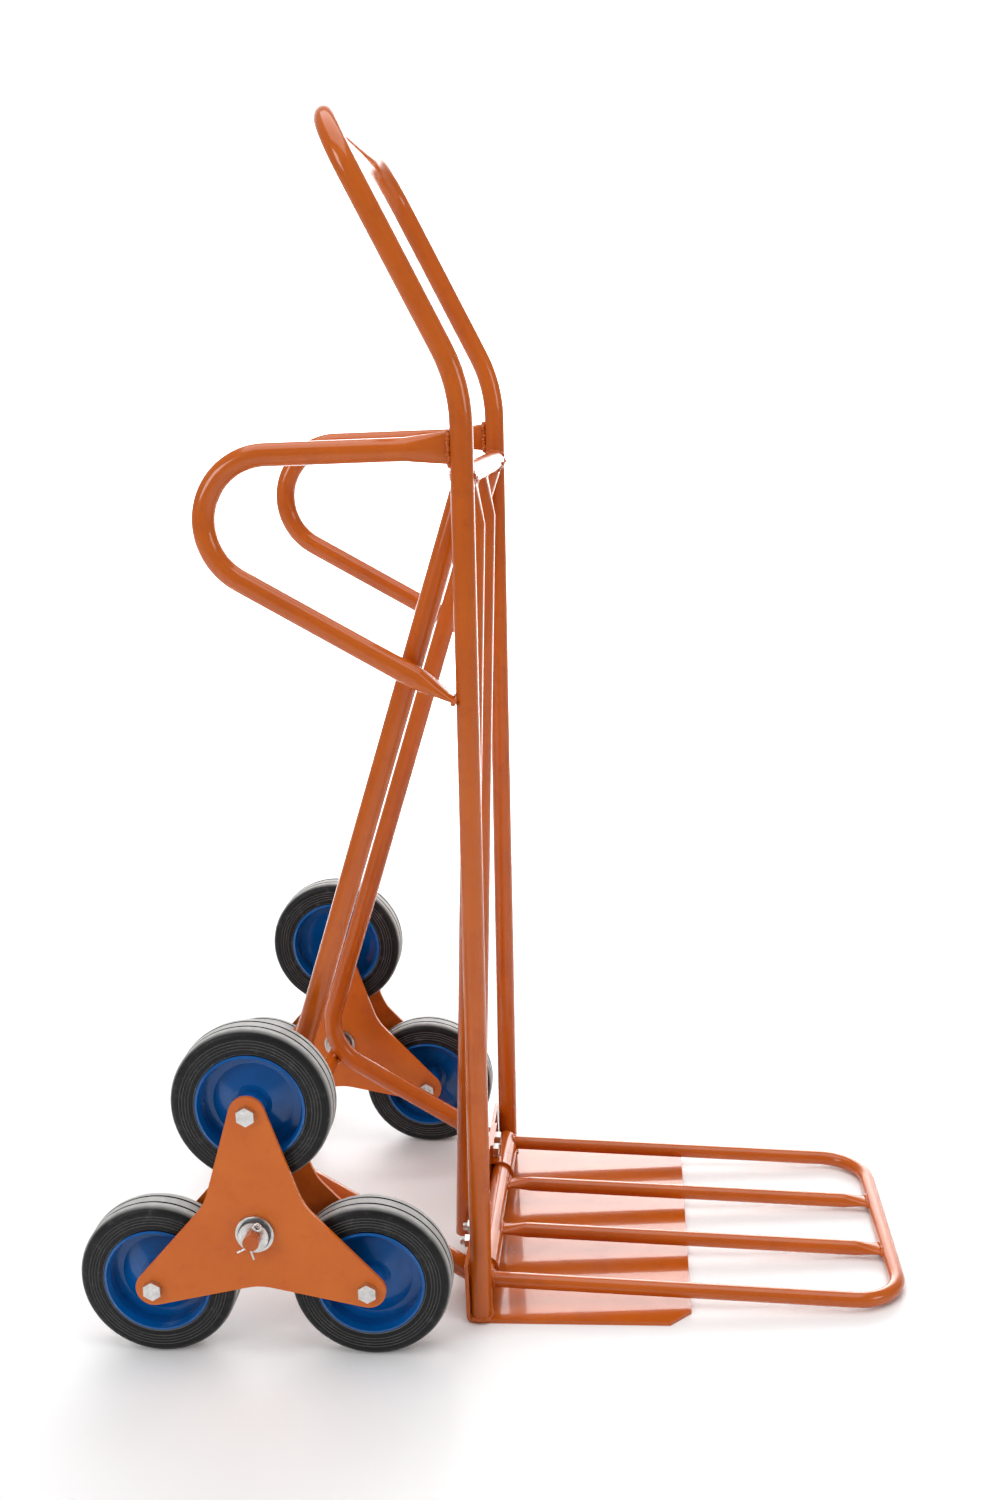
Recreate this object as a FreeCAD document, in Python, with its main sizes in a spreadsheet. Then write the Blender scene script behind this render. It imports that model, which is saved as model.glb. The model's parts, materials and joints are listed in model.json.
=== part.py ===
import FreeCAD, Part
import math
import os
import re
import Sketcher

# Stair-climbing hand truck with two three-wheel stars and a fold-out load extension.
# Millimetres. +X points forward over the load plate, +Y to the left hand side, +Z up.
# The origin is on the floor, midway between the feet of the two uprights.

SIZES = {
    # frame tube, uprights and push loop
    "tube_od": 22.0,
    "tube_wall": 1.5,
    "upright_y": 181.0,
    "upright_lean": 1.1,
    "knee_z": 940.0,
    "knee_bend": 150.0,
    "rake": 25.9,
    "loop_z": 1183.0,
    "loop_bend": 62.0,
    # cross tube and the two back slats
    "crossbar_z": 858.0,
    "slat_y": 60.0,
    "slat_foot_z": 30.0,
    "slat_flat": 42.0,
    "slat_set": 3.5,
    # flattened tube ends
    "flat_half": 15.0,
    "flat_thin": 3.2,
    # grip loops
    "grip_z": 884.0,
    "grip_low_z": 650.0,
    "grip_bend": 62.0,
    "grip_slope": 30.8,
    "grip_flat": 42.0,
    # rear stays
    "stay_inset": 33.0,
    "stay_wrap": 36.7,
    "stay_end_z": 30.0,
    "stay_bend": 60.0,
    # load plate and its upturned lip
    "plate_margin": 9.0,
    "plate_front": 215.0,
    "plate_thick": 4.0,
    "plate_bend": 4.0,
    "plate_corner": 22.0,
    "lip_height": 65.0,
    # hinge of the extension
    "hinge_z": 30.0,
    "hinge_gap": 0.3,
    "hinge_end_gap": 7.0,
    "clip_inset": 50.0,
    "clip_width": 60.0,
    "clip_thick": 3.0,
    "clip_bolt_pitch": 30.0,
    "clip_bolt_gap": 8.7,
    "clip_bolt_r": 4.0,
    "clip_bolt_grip": 18.5,
    "clip_head_af": 13.0,
    "clip_head_thick": 5.3,
    "clip_nut_thick": 6.5,
    # extension
    "rail_od": 16.0,
    "rail_wall": 1.5,
    "rail_reach": 432.0,
    "rail_bend": 50.0,
    "bar_y": 52.0,
    "bar_flat": 26.0,
    "bar_flat_half": 11.0,
    "bar_flat_thin": 3.0,
    # axle
    "axle_r": 8.0,
    "axle_x": -209.0,
    "axle_end": 9.4,
    "axle_washer_r": 15.0,
    "axle_washer_thick": 2.5,
    "axle_washer_gap": 0.3,
    "pin_wire_r": 1.6,
    "pin_gap": 0.2,
    "pin_stand": 1.2,
    "pin_eye_r": 3.6,
    "pin_leg": 14.0,
    "pin_leg_r": 1.12,
    "pin_spread": 38.0,
    "pin_angle": 66.0,
    # wheel stars
    "star_clear": 50.0,
    "star_arm": 124.0,
    "star_lobe_r": 18.0,
    "star_waist": 57.0,
    "star_waist_fillet": 60.0,
    "star_gap_half": 28.0,
    "star_plate": 4.0,
    "sleeve_r": 19.0,
    "sleeve_wall": 3.0,
    "sleeve_stand": 4.0,
    "bush_stand": 3.0,
    "bush_long": 24.0,
    "bush_clear": 0.05,
    # wheel bolts
    "bolt_r": 5.0,
    "bolt_af": 17.0,
    "bolt_head": 6.4,
    "bolt_tail": 11.0,
    "nut_thick": 8.0,
    "spacer_r": 11.5,
    "spacer_thick": 4.0,
    "side_gap": 0.3,
    # wheels
    "wheel_r": 80.0,
    "tyre_width": 36.0,
    "tyre_shoulder": 8.0,
    "tyre_seat_half": 12.0,
    "tread_groove_y": 6.0,
    "tread_groove_half": 1.3,
    "tread_groove_deep": 2.0,
    "wall_groove_start": 0.3125,
    "wall_groove_step": 0.1875,
    "tyre_foot_gap": 1.5,
    "wall_groove_half": 0.03125,
    "wall_groove_deep": 0.6,
    "rim_r": 52.0,
    "rim_lip": 2.5,
    "rim_sheet": 2.5,
    "rim_web_r": 40.0,
    "rim_dish": 8.0,
    "rim_flat": 5.0,
    "rim_roll": 0.8,
    "hub_r": 15.0,
    "hub_bore_r": 11.0,
    "wheel_bush_clear": 0.05,
}

LOBES = 3
WALL_GROOVES = 4
SIDES = {"left": 1, "right": -1}
WORD = re.compile(r"[a-z][a-z0-9_]*")

doc = FreeCAD.newDocument("stair_truck")
sheet = doc.addObject("Spreadsheet::Sheet", "Sizes")
for row, (alias, value) in enumerate(SIZES.items(), start=1):
    sheet.set("A%d" % row, alias)
    sheet.set("B%d" % row, str(value))
    sheet.setAlias("B%d" % row, alias)
doc.recompute()

pieces = []

# Formulas that several pieces share, written in the names of the sheet.
TUBE_R = "tube_od / 2"
AXLE_Z = "(wheel_r + star_arm / 2)"
RAIL_R = "rail_od / 2"
KNEE_X = "(knee_z * tan(upright_lean))"
LIP_FRONT = "(0 - tube_od / 2)"
LIP_BACK = "(0 - tube_od / 2 - plate_thick)"
HINGE_X = "hinge_gap"
CROSS_X = "(crossbar_z * tan(upright_lean))"
RAIL_DROP = "(asin((hinge_z - rail_od / 2) / rail_reach) / 1 deg)"
STAR_OUT = "(star_gap_half + star_plate)"
BUSH_OUT = "(star_gap_half + star_plate + sleeve_stand + bush_stand)"
PIN_OUT = "(%s + axle_washer_gap + axle_washer_thick + pin_wire_r + pin_gap)" % BUSH_OUT
HUB_HALF = "(star_gap_half - spacer_thick - side_gap)"
PIN_TURN = "(90 - pin_angle)"
LOBE_FIT = "(star_lobe_r * 0.999)"
# Places across the truck, each kept clear of the upright it stands beside.
STAY_Y = "(upright_y - stay_inset)"
PLATE_HALF = "(upright_y + plate_margin)"
HINGE_HALF = "(upright_y - tube_od / 2 - hinge_end_gap)"
RAIL_Y = "(%s - rail_od / 2)" % HINGE_HALF
CLIP_Y = "(%s - clip_inset)" % RAIL_Y
CLIP_BOLT_Z = "(hinge_z + tube_od / 2 + hinge_gap + clip_thick + clip_bolt_gap)"
STAR_Y = "(upright_y + star_clear)"
AXLE_HALF = "(%s + %s + axle_end)" % (STAR_Y, PIN_OUT)
# Long enough for a cut to pass right through any tube, plate or frame.
RIGHT_THROUGH = "(4 * %s)" % PLATE_HALF


def formula(text):
    """Point each size name in a formula at its cell in the sheet."""
    return WORD.sub(lambda m: "Sizes." + m.group() if m.group() in SIZES else m.group(), str(text))


def number(text):
    """Work out a formula now."""
    value = sheet.evalExpression(formula(text))
    return float(getattr(value, "Value", value))


def bind(item, prop, text):
    """Tie a property to the sheet."""
    item.setExpression(prop, formula(text))


def place(item, x=0, y=0, z=0, axis=(0, 0, 1), angle=0):
    """Put a piece where its formulas say."""
    item.Placement = FreeCAD.Placement(
        FreeCAD.Vector(number(x), number(y), number(z)),
        FreeCAD.Rotation(FreeCAD.Vector(*axis), number(angle)),
    )
    bind(item, "Placement.Base.x", x)
    bind(item, "Placement.Base.y", y)
    bind(item, "Placement.Base.z", z)
    if str(angle) != "0":
        bind(item, "Placement.Rotation.Angle", "(%s) * 1 deg" % angle)


def keep(item, label):
    """Name a finished sub-part and list it for export."""
    item.Label = label
    pieces.append(item)
    return item


# ---------------------------------------------------------------- sketch helpers


def new_body(name):
    """Start a body that may hold several loose solids."""
    body = doc.addObject("PartDesign::Body", name)
    if hasattr(body, "AllowCompound"):
        body.AllowCompound = True
    return body


def origin_item(body, role):
    """Find one of a body's own origin planes or axes."""
    return next(item for item in body.Origin.OriginFeatures if item.Role == role)


def new_sketch(body, name, role, lift=0):
    """Attach an empty sketch to an origin plane, lifted along its normal."""
    sketch = body.newObject("Sketcher::SketchObject", name)
    sketch.AttachmentSupport = [(origin_item(body, role), "")]
    sketch.MapMode = "FlatFace"
    if str(lift) != "0":
        sketch.AttachmentOffset = FreeCAD.Placement(FreeCAD.Vector(0, 0, number(lift)), FreeCAD.Rotation())
        bind(sketch, "AttachmentOffset.Base.z", lift)
    return sketch


def cross_section(body, name, x, y, z, tilt=0):
    """Attach a sketch across a tube at x, y, z; tilt turns its normal from +X down towards -Z."""
    sketch = body.newObject("Sketcher::SketchObject", name)
    sketch.AttachmentSupport = [(origin_item(body, "YZ_Plane"), "")]
    sketch.MapMode = "FlatFace"
    sketch.AttachmentOffset = FreeCAD.Placement(
        FreeCAD.Vector(number(y), number(z), number(x)),
        FreeCAD.Rotation(FreeCAD.Vector(1, 0, 0), number(tilt)),
    )
    bind(sketch, "AttachmentOffset.Base.x", y)
    bind(sketch, "AttachmentOffset.Base.y", z)
    bind(sketch, "AttachmentOffset.Base.z", x)
    if str(tilt) != "0":
        bind(sketch, "AttachmentOffset.Rotation.Angle", "(%s) * 1 deg" % tilt)
    return sketch


def tie(sketch, constraint, text, name):
    """Add a constraint whose value follows a formula."""
    index = sketch.addConstraint(constraint)
    sketch.renameConstraint(index, name)
    bind(sketch, "Constraints." + name, text)


def pin_point(sketch, geometry, corner, x, y, name):
    """Hold one point of a sketch at x, y."""
    tie(sketch, Sketcher.Constraint("DistanceX", -1, 1, geometry, corner, number(x)), x, name + "_x")
    tie(sketch, Sketcher.Constraint("DistanceY", -1, 1, geometry, corner, number(y)), y, name + "_y")


def add_circle(sketch, x, y, radius, name):
    """Draw a circle."""
    centre = FreeCAD.Vector(number(x), number(y), 0)
    circle = Part.Circle(centre, FreeCAD.Vector(0, 0, 1), number(radius))
    index = sketch.addGeometry(circle, False)
    pin_point(sketch, index, 3, x, y, name)
    tie(sketch, Sketcher.Constraint("Radius", index, number(radius)), radius, name + "_r")


def add_ellipse(sketch, half_x, half_y, name):
    """Draw an ellipse on the sketch's own centre, half_x wide and half_y high."""
    wide = number(half_x) >= number(half_y)
    major = FreeCAD.Vector(number(half_x), 0, 0) if wide else FreeCAD.Vector(0, number(half_y), 0)
    minor = FreeCAD.Vector(0, number(half_y), 0) if wide else FreeCAD.Vector(-number(half_x), 0, 0)
    index = sketch.addGeometry(Part.Ellipse(major, minor, FreeCAD.Vector(0, 0, 0)), False)
    sketch.exposeInternalGeometry(index)
    long_axis, short_axis = index + 1, index + 2
    sketch.addConstraint(Sketcher.Constraint("Coincident", index, 3, -1, 1))
    sketch.addConstraint(Sketcher.Constraint("Horizontal" if wide else "Vertical", long_axis))
    longer, shorter = (half_x, half_y) if wide else (half_y, half_x)
    for axis, half, label in ((long_axis, longer, name + "_long"), (short_axis, shorter, name + "_short")):
        tie(sketch, Sketcher.Constraint("Distance", axis, 2 * number(half)), "2 * (%s)" % half, label)


def corner_about(last, following, middle, radius):
    """Find the corner whose bend of this radius is centred on the given middle."""
    outward = (middle - (last + following) * 0.5).normalize()
    rays = []
    for end in (last, following):
        gap = middle - end
        swing = math.asin(radius / gap.Length)
        ways = [FreeCAD.Rotation(FreeCAD.Vector(0, 0, 1), math.degrees(s)).multVec(gap).normalize()
                for s in (swing, -swing)]
        rays.append((end, max(ways, key=lambda way: way.dot(outward))))
    (p, u), (q, v) = rays
    along = (q - p).cross(v).z / u.cross(v).z
    return p + u * along


def draw(sketch, corners, closed=True, name="corner"):
    """Draw straight runs through the corners, rounded where a corner has a radius.

    Each corner is (x, y) or (x, y, radius), all three as formulas. A fourth item, "about", says
    that x, y is the middle of the bend and not the point of the corner.
    """
    count = len(corners)
    spots = [FreeCAD.Vector(number(c[0]), number(c[1]), 0) for c in corners]
    for i, corner in enumerate(corners):
        if len(corner) == 4:
            spots[i] = corner_about(spots[i - 1], spots[(i + 1) % count], spots[i], number(corner[2]))
    rounds = {}
    for i, corner in enumerate(corners):
        if len(corner) > 2:
            to_last = (spots[i - 1] - spots[i]).normalize()
            to_next = (spots[(i + 1) % count] - spots[i]).normalize()
            half = math.acos(max(-1.0, min(1.0, to_last.dot(to_next)))) / 2
            radius = number(corner[2])
            reach = radius / math.tan(half)
            middle = spots[i] + (to_last + to_next).normalize() * (radius / math.sin(half))
            rounds[i] = (spots[i] + to_last * reach, spots[i] + to_next * reach, middle, radius)
    lines = {}
    for i in range(count if closed else count - 1):
        j = (i + 1) % count
        start = rounds[i][1] if i in rounds else spots[i]
        end = rounds[j][0] if j in rounds else spots[j]
        lines[i] = sketch.addGeometry(Part.LineSegment(start, end), False)
    for i, corner in enumerate(corners):
        before = lines.get((i - 1) % count)
        after = lines.get(i)
        label = "%s%d" % (name, i)
        if i not in rounds:
            if before is not None and after is not None:
                sketch.addConstraint(Sketcher.Constraint("Coincident", before, 2, after, 1))
            edge, end = (after, 1) if after is not None else (before, 2)
            pin_point(sketch, edge, end, corner[0], corner[1], label)
            continue
        first, last, middle, radius = rounds[i]
        a0 = math.atan2(first.y - middle.y, first.x - middle.x)
        a1 = math.atan2(last.y - middle.y, last.x - middle.x)
        left_turn = (first - middle).cross(last - middle).z > 0
        circle = Part.Circle(middle, FreeCAD.Vector(0, 0, 1), radius)
        arc_shape = Part.ArcOfCircle(circle, a0, a1) if left_turn else Part.ArcOfCircle(circle, a1, a0)
        arc = sketch.addGeometry(arc_shape, False)
        near, far = (1, 2) if left_turn else (2, 1)
        sketch.addConstraint(Sketcher.Constraint("Tangent", before, 2, arc, near))
        sketch.addConstraint(Sketcher.Constraint("Tangent", after, 1, arc, far))
        tie(sketch, Sketcher.Constraint("Radius", arc, radius), corner[2], label + "_r")
        if len(corner) == 4:
            pin_point(sketch, arc, 3, corner[0], corner[1], label)
            continue
        point = sketch.addGeometry(Part.Point(spots[i]), True)
        sketch.addConstraint(Sketcher.Constraint("PointOnObject", point, 1, before))
        sketch.addConstraint(Sketcher.Constraint("PointOnObject", point, 1, after))
        pin_point(sketch, point, 1, corner[0], corner[1], label)
    return sketch


def edges_of(sketch):
    """Name every edge of a path sketch."""
    doc.recompute()
    return ["Edge%d" % (i + 1) for i in range(len(sketch.Shape.Edges))]


# --------------------------------------------------------------- feature helpers


def pad(body, sketch, length, name, both_ways=False, backwards=False):
    """Pad a sketch; both_ways centres it on the sketch."""
    item = body.newObject("PartDesign::Pad", name)
    item.Profile = sketch
    item.Length = number(length)
    bind(item, "Length", length)
    item.Midplane = both_ways
    item.Reversed = backwards
    return item


def pocket(body, sketch, length, name):
    """Cut a sketch both ways to the given overall depth."""
    item = body.newObject("PartDesign::Pocket", name)
    item.Profile = sketch
    item.Length = number(length)
    bind(item, "Length", length)
    item.Midplane = True
    return item


def revolve(body, sketch, name):
    """Turn a sketch of the XY plane about the body's Y axis."""
    item = body.newObject("PartDesign::Revolution", name)
    item.Profile = sketch
    item.ReferenceAxis = (sketch, ["V_Axis"])
    item.Angle = 360
    return item


def pipe(body, section, path, name):
    """Sweep a section along a path sketch."""
    item = body.newObject("PartDesign::AdditivePipe", name)
    item.Profile = section
    item.Spine = (path, edges_of(path))
    return item


def loft(body, first, second, name):
    """Blend one section into another."""
    item = body.newObject("PartDesign::AdditiveLoft", name)
    item.Profile = first
    item.Sections = [second]
    return item


def tube_ring(sketch, radius, wall):
    """Draw a tube's wall on the sketch's centre."""
    add_circle(sketch, 0, 0, radius, "outside")
    add_circle(sketch, 0, 0, "%s - %s" % (radius, wall), "inside")
    return sketch


def part_cylinder(name, radius, height, x, y, z, axis=(0, 0, 1), angle=0):
    """Make a loose cylinder for a boolean."""
    item = doc.addObject("Part::Cylinder", name)
    bind(item, "Radius", radius)
    bind(item, "Height", height)
    place(item, x, y, z, axis, angle)
    return item


def part_box(name, length, width, height, x, y, z):
    """Make a loose box for a boolean."""
    item = doc.addObject("Part::Box", name)
    bind(item, "Length", length)
    bind(item, "Width", width)
    bind(item, "Height", height)
    place(item, x, y, z)
    return item


def fuse(name, items):
    """Join loose solids."""
    item = doc.addObject("Part::MultiFuse", name)
    item.Shapes = items
    return item


def cut(name, base, tools):
    """Cut loose solids from a base."""
    item = doc.addObject("Part::Cut", name)
    item.Base = base
    item.Tool = tools[0] if len(tools) == 1 else fuse(name + "_tools", tools)
    return item


ALONG_Y = {"axis": (1, 0, 0), "angle": -90}
ALONG_X = {"axis": (0, 1, 0), "angle": 90}

# ------------------------------------------------------------------------ frame


def bent_wire(points, bends):
    """Join straight runs through the points with tangent arcs; bends holds one radius per inner point."""
    edges = []
    start = points[0]
    for last, point, following, radius in zip(points, points[1:], points[2:], bends):
        to_last = (last - point).normalize()
        to_next = (following - point).normalize()
        half = math.acos(to_last.dot(to_next)) / 2
        enter = point + to_last * (radius / math.tan(half))
        leave = point + to_next * (radius / math.tan(half))
        outward = (to_last + to_next).normalize()
        crown = point + outward * (radius / math.sin(half) - radius)
        edges.append(Part.LineSegment(start, enter).toShape())
        edges.append(Part.Arc(enter, crown, leave).toShape())
        start = leave
    edges.append(Part.LineSegment(start, points[-1]).toShape())
    return Part.Wire(edges)


def swept(wire, radius):
    """Sweep a round solid along a wire."""
    edge = wire.Edges[0]
    start = edge.valueAt(edge.FirstParameter)
    circle = Part.Circle(start, edge.tangentAt(edge.FirstParameter), radius)
    return wire.makePipeShell([Part.Wire(circle.toShape())], True, False)


def make_frame_loop():
    """Bend one tube into both uprights and the raked push loop, a path that no flat sketch can hold.

    Its feet are cut off level, to stand flat on the load plate, and coped to the bend of the lip.
    """
    knee_x = number(KNEE_X)
    top_x = number("%s - (loop_z - knee_z) * tan(rake)" % KNEE_X)
    side = number("upright_y")
    knee_z, top_z = number("knee_z"), number("loop_z")
    half = [
        FreeCAD.Vector(0, side, 0),
        FreeCAD.Vector(knee_x, side, knee_z),
        FreeCAD.Vector(top_x, side, top_z),
    ]
    other = [FreeCAD.Vector(p.x, -p.y, p.z) for p in reversed(half)]
    bends = [number("knee_bend"), number("loop_bend"), number("loop_bend"), number("knee_bend")]
    wire = bent_wire(half + other, bends)
    wide, across, floor = number("tube_od"), number("upright_y + tube_od"), number("plate_thick")
    lip, bend = number(LIP_FRONT), number("plate_bend")
    below = Part.makeBox(2 * wide, 2 * across, 2 * floor, FreeCAD.Vector(-wide, -across, -floor))
    hollow_of_bend = Part.makeCylinder(
        bend, 2 * across, FreeCAD.Vector(lip + bend, -across, floor + bend), FreeCAD.Vector(0, 1, 0))
    corner = Part.makeBox(bend + wide, 2 * across, bend, FreeCAD.Vector(lip - wide, -across, floor))
    corner = corner.cut(hollow_of_bend)
    tube = doc.addObject("Part::Feature", "frame_loop")
    hollow = swept(wire, number(TUBE_R)).cut(swept(wire, number(TUBE_R + " - tube_wall")))
    tube.Shape = hollow.cut(below).cut(corner)
    keep(tube, "frame_loop")


def make_back_crossbar():
    """Fit a straight tube between the uprights, coped round both."""
    length = "2 * upright_y"
    outer = part_cylinder("crossbar_outer", TUBE_R, length, CROSS_X, "0 - upright_y", "crossbar_z", **ALONG_Y)
    inner = part_cylinder("crossbar_inner", TUBE_R + " - tube_wall", length, CROSS_X, "0 - upright_y",
                          "crossbar_z", **ALONG_Y)
    tools = [inner]
    for side, sign in SIDES.items():
        tools.append(part_cylinder("crossbar_cope_" + side, TUBE_R, "knee_z", 0, "%d * upright_y" % sign, 0,
                                   axis=(0, 1, 0), angle="upright_lean"))
    keep(cut("back_crossbar", outer, tools), "back_crossbar")


def make_slat(side, sign):
    """Run a back slat from behind the lip to the cross tube, its top end pressed flat."""
    name = "slat_" + side
    y = "%d * slat_y" % sign
    body = new_body(name)
    behind_lip = "(%s - tube_od / 2)" % LIP_BACK
    lean = "(atan((%s - %s) / (crossbar_z - lip_height)) / 1 deg)" % (CROSS_X, behind_lip)
    foot_x = "(%s - (lip_height - slat_foot_z) * tan(%s))" % (behind_lip, lean)
    top_x = "(%s - slat_set)" % CROSS_X
    neck_z = "(crossbar_z - tube_od / 2 - slat_flat)"
    neck_x = "(%s + (%s - slat_foot_z) * tan(%s))" % (foot_x, neck_z, lean)
    foot = new_sketch(body, name + "_foot", "XY_Plane", "slat_foot_z")
    for radius, label in ((TUBE_R, "outside"), (TUBE_R + " - tube_wall", "inside")):
        add_circle(foot, foot_x, y, radius, label)
    neck = new_sketch(body, name + "_neck", "XY_Plane", neck_z)
    for radius, label in ((TUBE_R, "outside"), (TUBE_R + " - tube_wall", "inside")):
        add_circle(neck, neck_x, y, radius, label)
    loft(body, foot, neck, name + "_tube")
    root = body.newObject("Sketcher::SketchObject", name + "_root")
    press_sections(body, root, name, (neck_x, y, neck_z), (top_x, y, "crossbar_z"))
    cope = new_sketch(body, name + "_cope", "XZ_Plane", "0 - (%s)" % y)
    add_circle(cope, CROSS_X, "crossbar_z", TUBE_R, "cope")
    pocket(body, cope, RIGHT_THROUGH, name + "_coped")
    keep(body, name)


def press_sections(body, root, name, low, high):
    """Blend a round end upwards into a flat one."""
    root.AttachmentSupport = [(origin_item(body, "XY_Plane"), "")]
    root.MapMode = "FlatFace"
    root.AttachmentOffset = FreeCAD.Placement(FreeCAD.Vector(0, 0, number(low[2])), FreeCAD.Rotation())
    bind(root, "AttachmentOffset.Base.z", low[2])
    add_circle(root, low[0], low[1], TUBE_R, "round")
    flat = body.newObject("Sketcher::SketchObject", name + "_flat")
    flat.AttachmentSupport = [(origin_item(body, "XY_Plane"), "")]
    flat.MapMode = "FlatFace"
    flat.AttachmentOffset = FreeCAD.Placement(
        FreeCAD.Vector(number(high[0]), number(high[1]), number(high[2])), FreeCAD.Rotation())
    bind(flat, "AttachmentOffset.Base.x", high[0])
    bind(flat, "AttachmentOffset.Base.y", high[1])
    bind(flat, "AttachmentOffset.Base.z", high[2])
    add_ellipse(flat, "flat_thin", "flat_half", "flat")
    loft(body, root, flat, name + "_press")


def make_grip(side, sign):
    """Bend a D-shaped grip loop whose two ends are pressed flat and coped to the upright's back."""
    name = "grip_" + side
    y = "(%d * upright_y)" % sign
    top_back = "(grip_z * tan(upright_lean) - tube_od / 2)"
    low_back = "(grip_low_z * tan(upright_lean) - tube_od / 2)"
    start_x = "(%s - grip_flat)" % top_back
    end_x = "(%s - grip_flat * cos(grip_slope))" % low_back
    end_z = "(grip_low_z + grip_flat * sin(grip_slope))"
    corner_x = "(%s - (grip_z - grip_low_z) / tan(grip_slope))" % low_back
    body = new_body(name + "_bent")
    path = new_sketch(body, name + "_path", "XZ_Plane", "0 - " + y)
    draw(path, [
        (start_x, "grip_z"),
        (corner_x, "grip_z", "grip_bend"),
        (end_x, end_z),
    ], closed=False)
    ring = cross_section(body, name + "_section", start_x, y, "grip_z")
    tube_ring(ring, TUBE_R, "tube_wall")
    pipe(body, ring, path, name + "_tube")
    upper = cross_section(body, name + "_upper_round", start_x, y, "grip_z")
    add_circle(upper, 0, 0, TUBE_R, "round")
    upper_flat = cross_section(body, name + "_upper_flat", top_back, y, "grip_z")
    add_ellipse(upper_flat, "flat_thin", "flat_half", "flat")
    loft(body, upper, upper_flat, name + "_upper_press")
    lower = cross_section(body, name + "_lower_round", end_x, y, end_z, "grip_slope")
    add_circle(lower, 0, 0, TUBE_R, "round")
    lower_flat = cross_section(body, name + "_lower_flat", low_back, y, "grip_low_z", "grip_slope")
    add_ellipse(lower_flat, "flat_half", "flat_thin", "flat")
    loft(body, lower, lower_flat, name + "_lower_press")
    upright = part_cylinder(name + "_cope", TUBE_R, "knee_z", 0, y, 0, axis=(0, 1, 0), angle="upright_lean")
    keep(cut(name, body, [upright]), name)


def make_stay(side, sign):
    """Bend a rear stay from the cross tube, round the axle's front, to the back of the lip."""
    name = "stay_" + side
    y = "(%d * %s)" % (sign, STAY_Y)
    hold = "(stay_bend + tube_od / 2 + axle_r)"
    bend_x = "(axle_x + %s * cos(stay_wrap))" % hold
    bend_z = "(%s + %s * sin(stay_wrap))" % (AXLE_Z, hold)
    body = new_body(name)
    path = new_sketch(body, name + "_path", "XZ_Plane", "0 - " + y)
    draw(path, [
        (CROSS_X, "crossbar_z"),
        (bend_x, bend_z, "stay_bend", "about"),
        ("0 - tube_od / 4", "stay_end_z"),
    ], closed=False)
    run_x = "(%s - %s)" % (CROSS_X, bend_x)
    run_z = "(crossbar_z - %s)" % bend_z
    run = "sqrt(%s * %s + %s * %s)" % (run_x, run_x, run_z, run_z)
    steep = "((atan(%s / %s) - asin(stay_bend / %s)) / 1 deg)" % (run_z, run_x, run)
    ring = cross_section(body, name + "_section", CROSS_X, y, "crossbar_z", "0 - " + steep)
    tube_ring(ring, TUBE_R, "tube_wall")
    pipe(body, ring, path, name + "_tube")
    cope = new_sketch(body, name + "_cope", "XZ_Plane", "0 - " + y)
    add_circle(cope, CROSS_X, "crossbar_z", TUBE_R, "cope")
    pocket(body, cope, RIGHT_THROUGH, name + "_coped")
    trim = new_sketch(body, name + "_trim", "XZ_Plane", "0 - " + y)
    draw(trim, [
        (LIP_BACK, "0 - lip_height"),
        (LIP_BACK + " + lip_height", "0 - lip_height"),
        (LIP_BACK + " + lip_height", "2 * lip_height"),
        (LIP_BACK, "2 * lip_height"),
    ])
    pocket(body, trim, RIGHT_THROUGH, name + "_trimmed")
    keep(body, name)


def make_toe_plate():
    """Fold the load plate with its upturned lip; clip its front corners and drill the lip."""
    body = new_body("toe_plate")
    side = new_sketch(body, "plate_profile", "XZ_Plane")
    draw(side, [
        ("plate_front", 0),
        ("plate_front", "plate_thick"),
        (LIP_FRONT, "plate_thick", "plate_bend"),
        (LIP_FRONT, "lip_height"),
        (LIP_BACK, "lip_height"),
        (LIP_BACK, 0, "plate_bend + plate_thick"),
    ])
    pad(body, side, "2 * " + PLATE_HALF, "plate_fold", both_ways=True)
    corners = new_sketch(body, "plate_corners", "XY_Plane")
    for side_name, sign in SIDES.items():
        edge = "%d * %s" % (sign, PLATE_HALF)
        inner = "%d * (%s - plate_corner)" % (sign, PLATE_HALF)
        draw(corners, [
            ("plate_front", edge),
            ("plate_front", inner),
            ("plate_front - plate_corner", edge),
        ], name="clip_" + side_name)
    pocket(body, corners, RIGHT_THROUGH, "plate_clipped")
    holes = new_sketch(body, "lip_holes", "YZ_Plane")
    for side_name, sign in SIDES.items():
        for k in (-1, 1):
            y = clip_bolt_y(sign, k)
            add_circle(holes, y, CLIP_BOLT_Z, "clip_bolt_r", "hole_%s_%d" % (side_name, k + 1))
    pocket(body, holes, RIGHT_THROUGH, "lip_drilled")
    keep(body, "toe_plate")


def make_axle():
    """Turn the through axle, cross-drilled at both ends for the split pins."""
    rod = part_cylinder("axle_rod", "axle_r", "2 * " + AXLE_HALF, "axle_x", "0 - " + AXLE_HALF, AXLE_Z,
                        **ALONG_Y)
    tools = []
    for side, sign in SIDES.items():
        for where, y in pin_places(sign).items():
            x, z = beside_axle("0 - 2 * axle_r")
            tools.append(part_cylinder("axle_hole_%s_%s" % (where, side), "pin_wire_r", "4 * axle_r", x, y, z,
                                       axis=(0, 1, 0), angle=PIN_TURN))
    keep(cut("axle", rod, tools), "axle")


def pin_places(sign):
    """Say how far out each split pin of one side lies."""
    return {
        "outer": "(%d * (%s + %s))" % (sign, STAR_Y, PIN_OUT),
        "inner": "(%d * (%s - %s))" % (sign, STAR_Y, PIN_OUT),
    }


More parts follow.
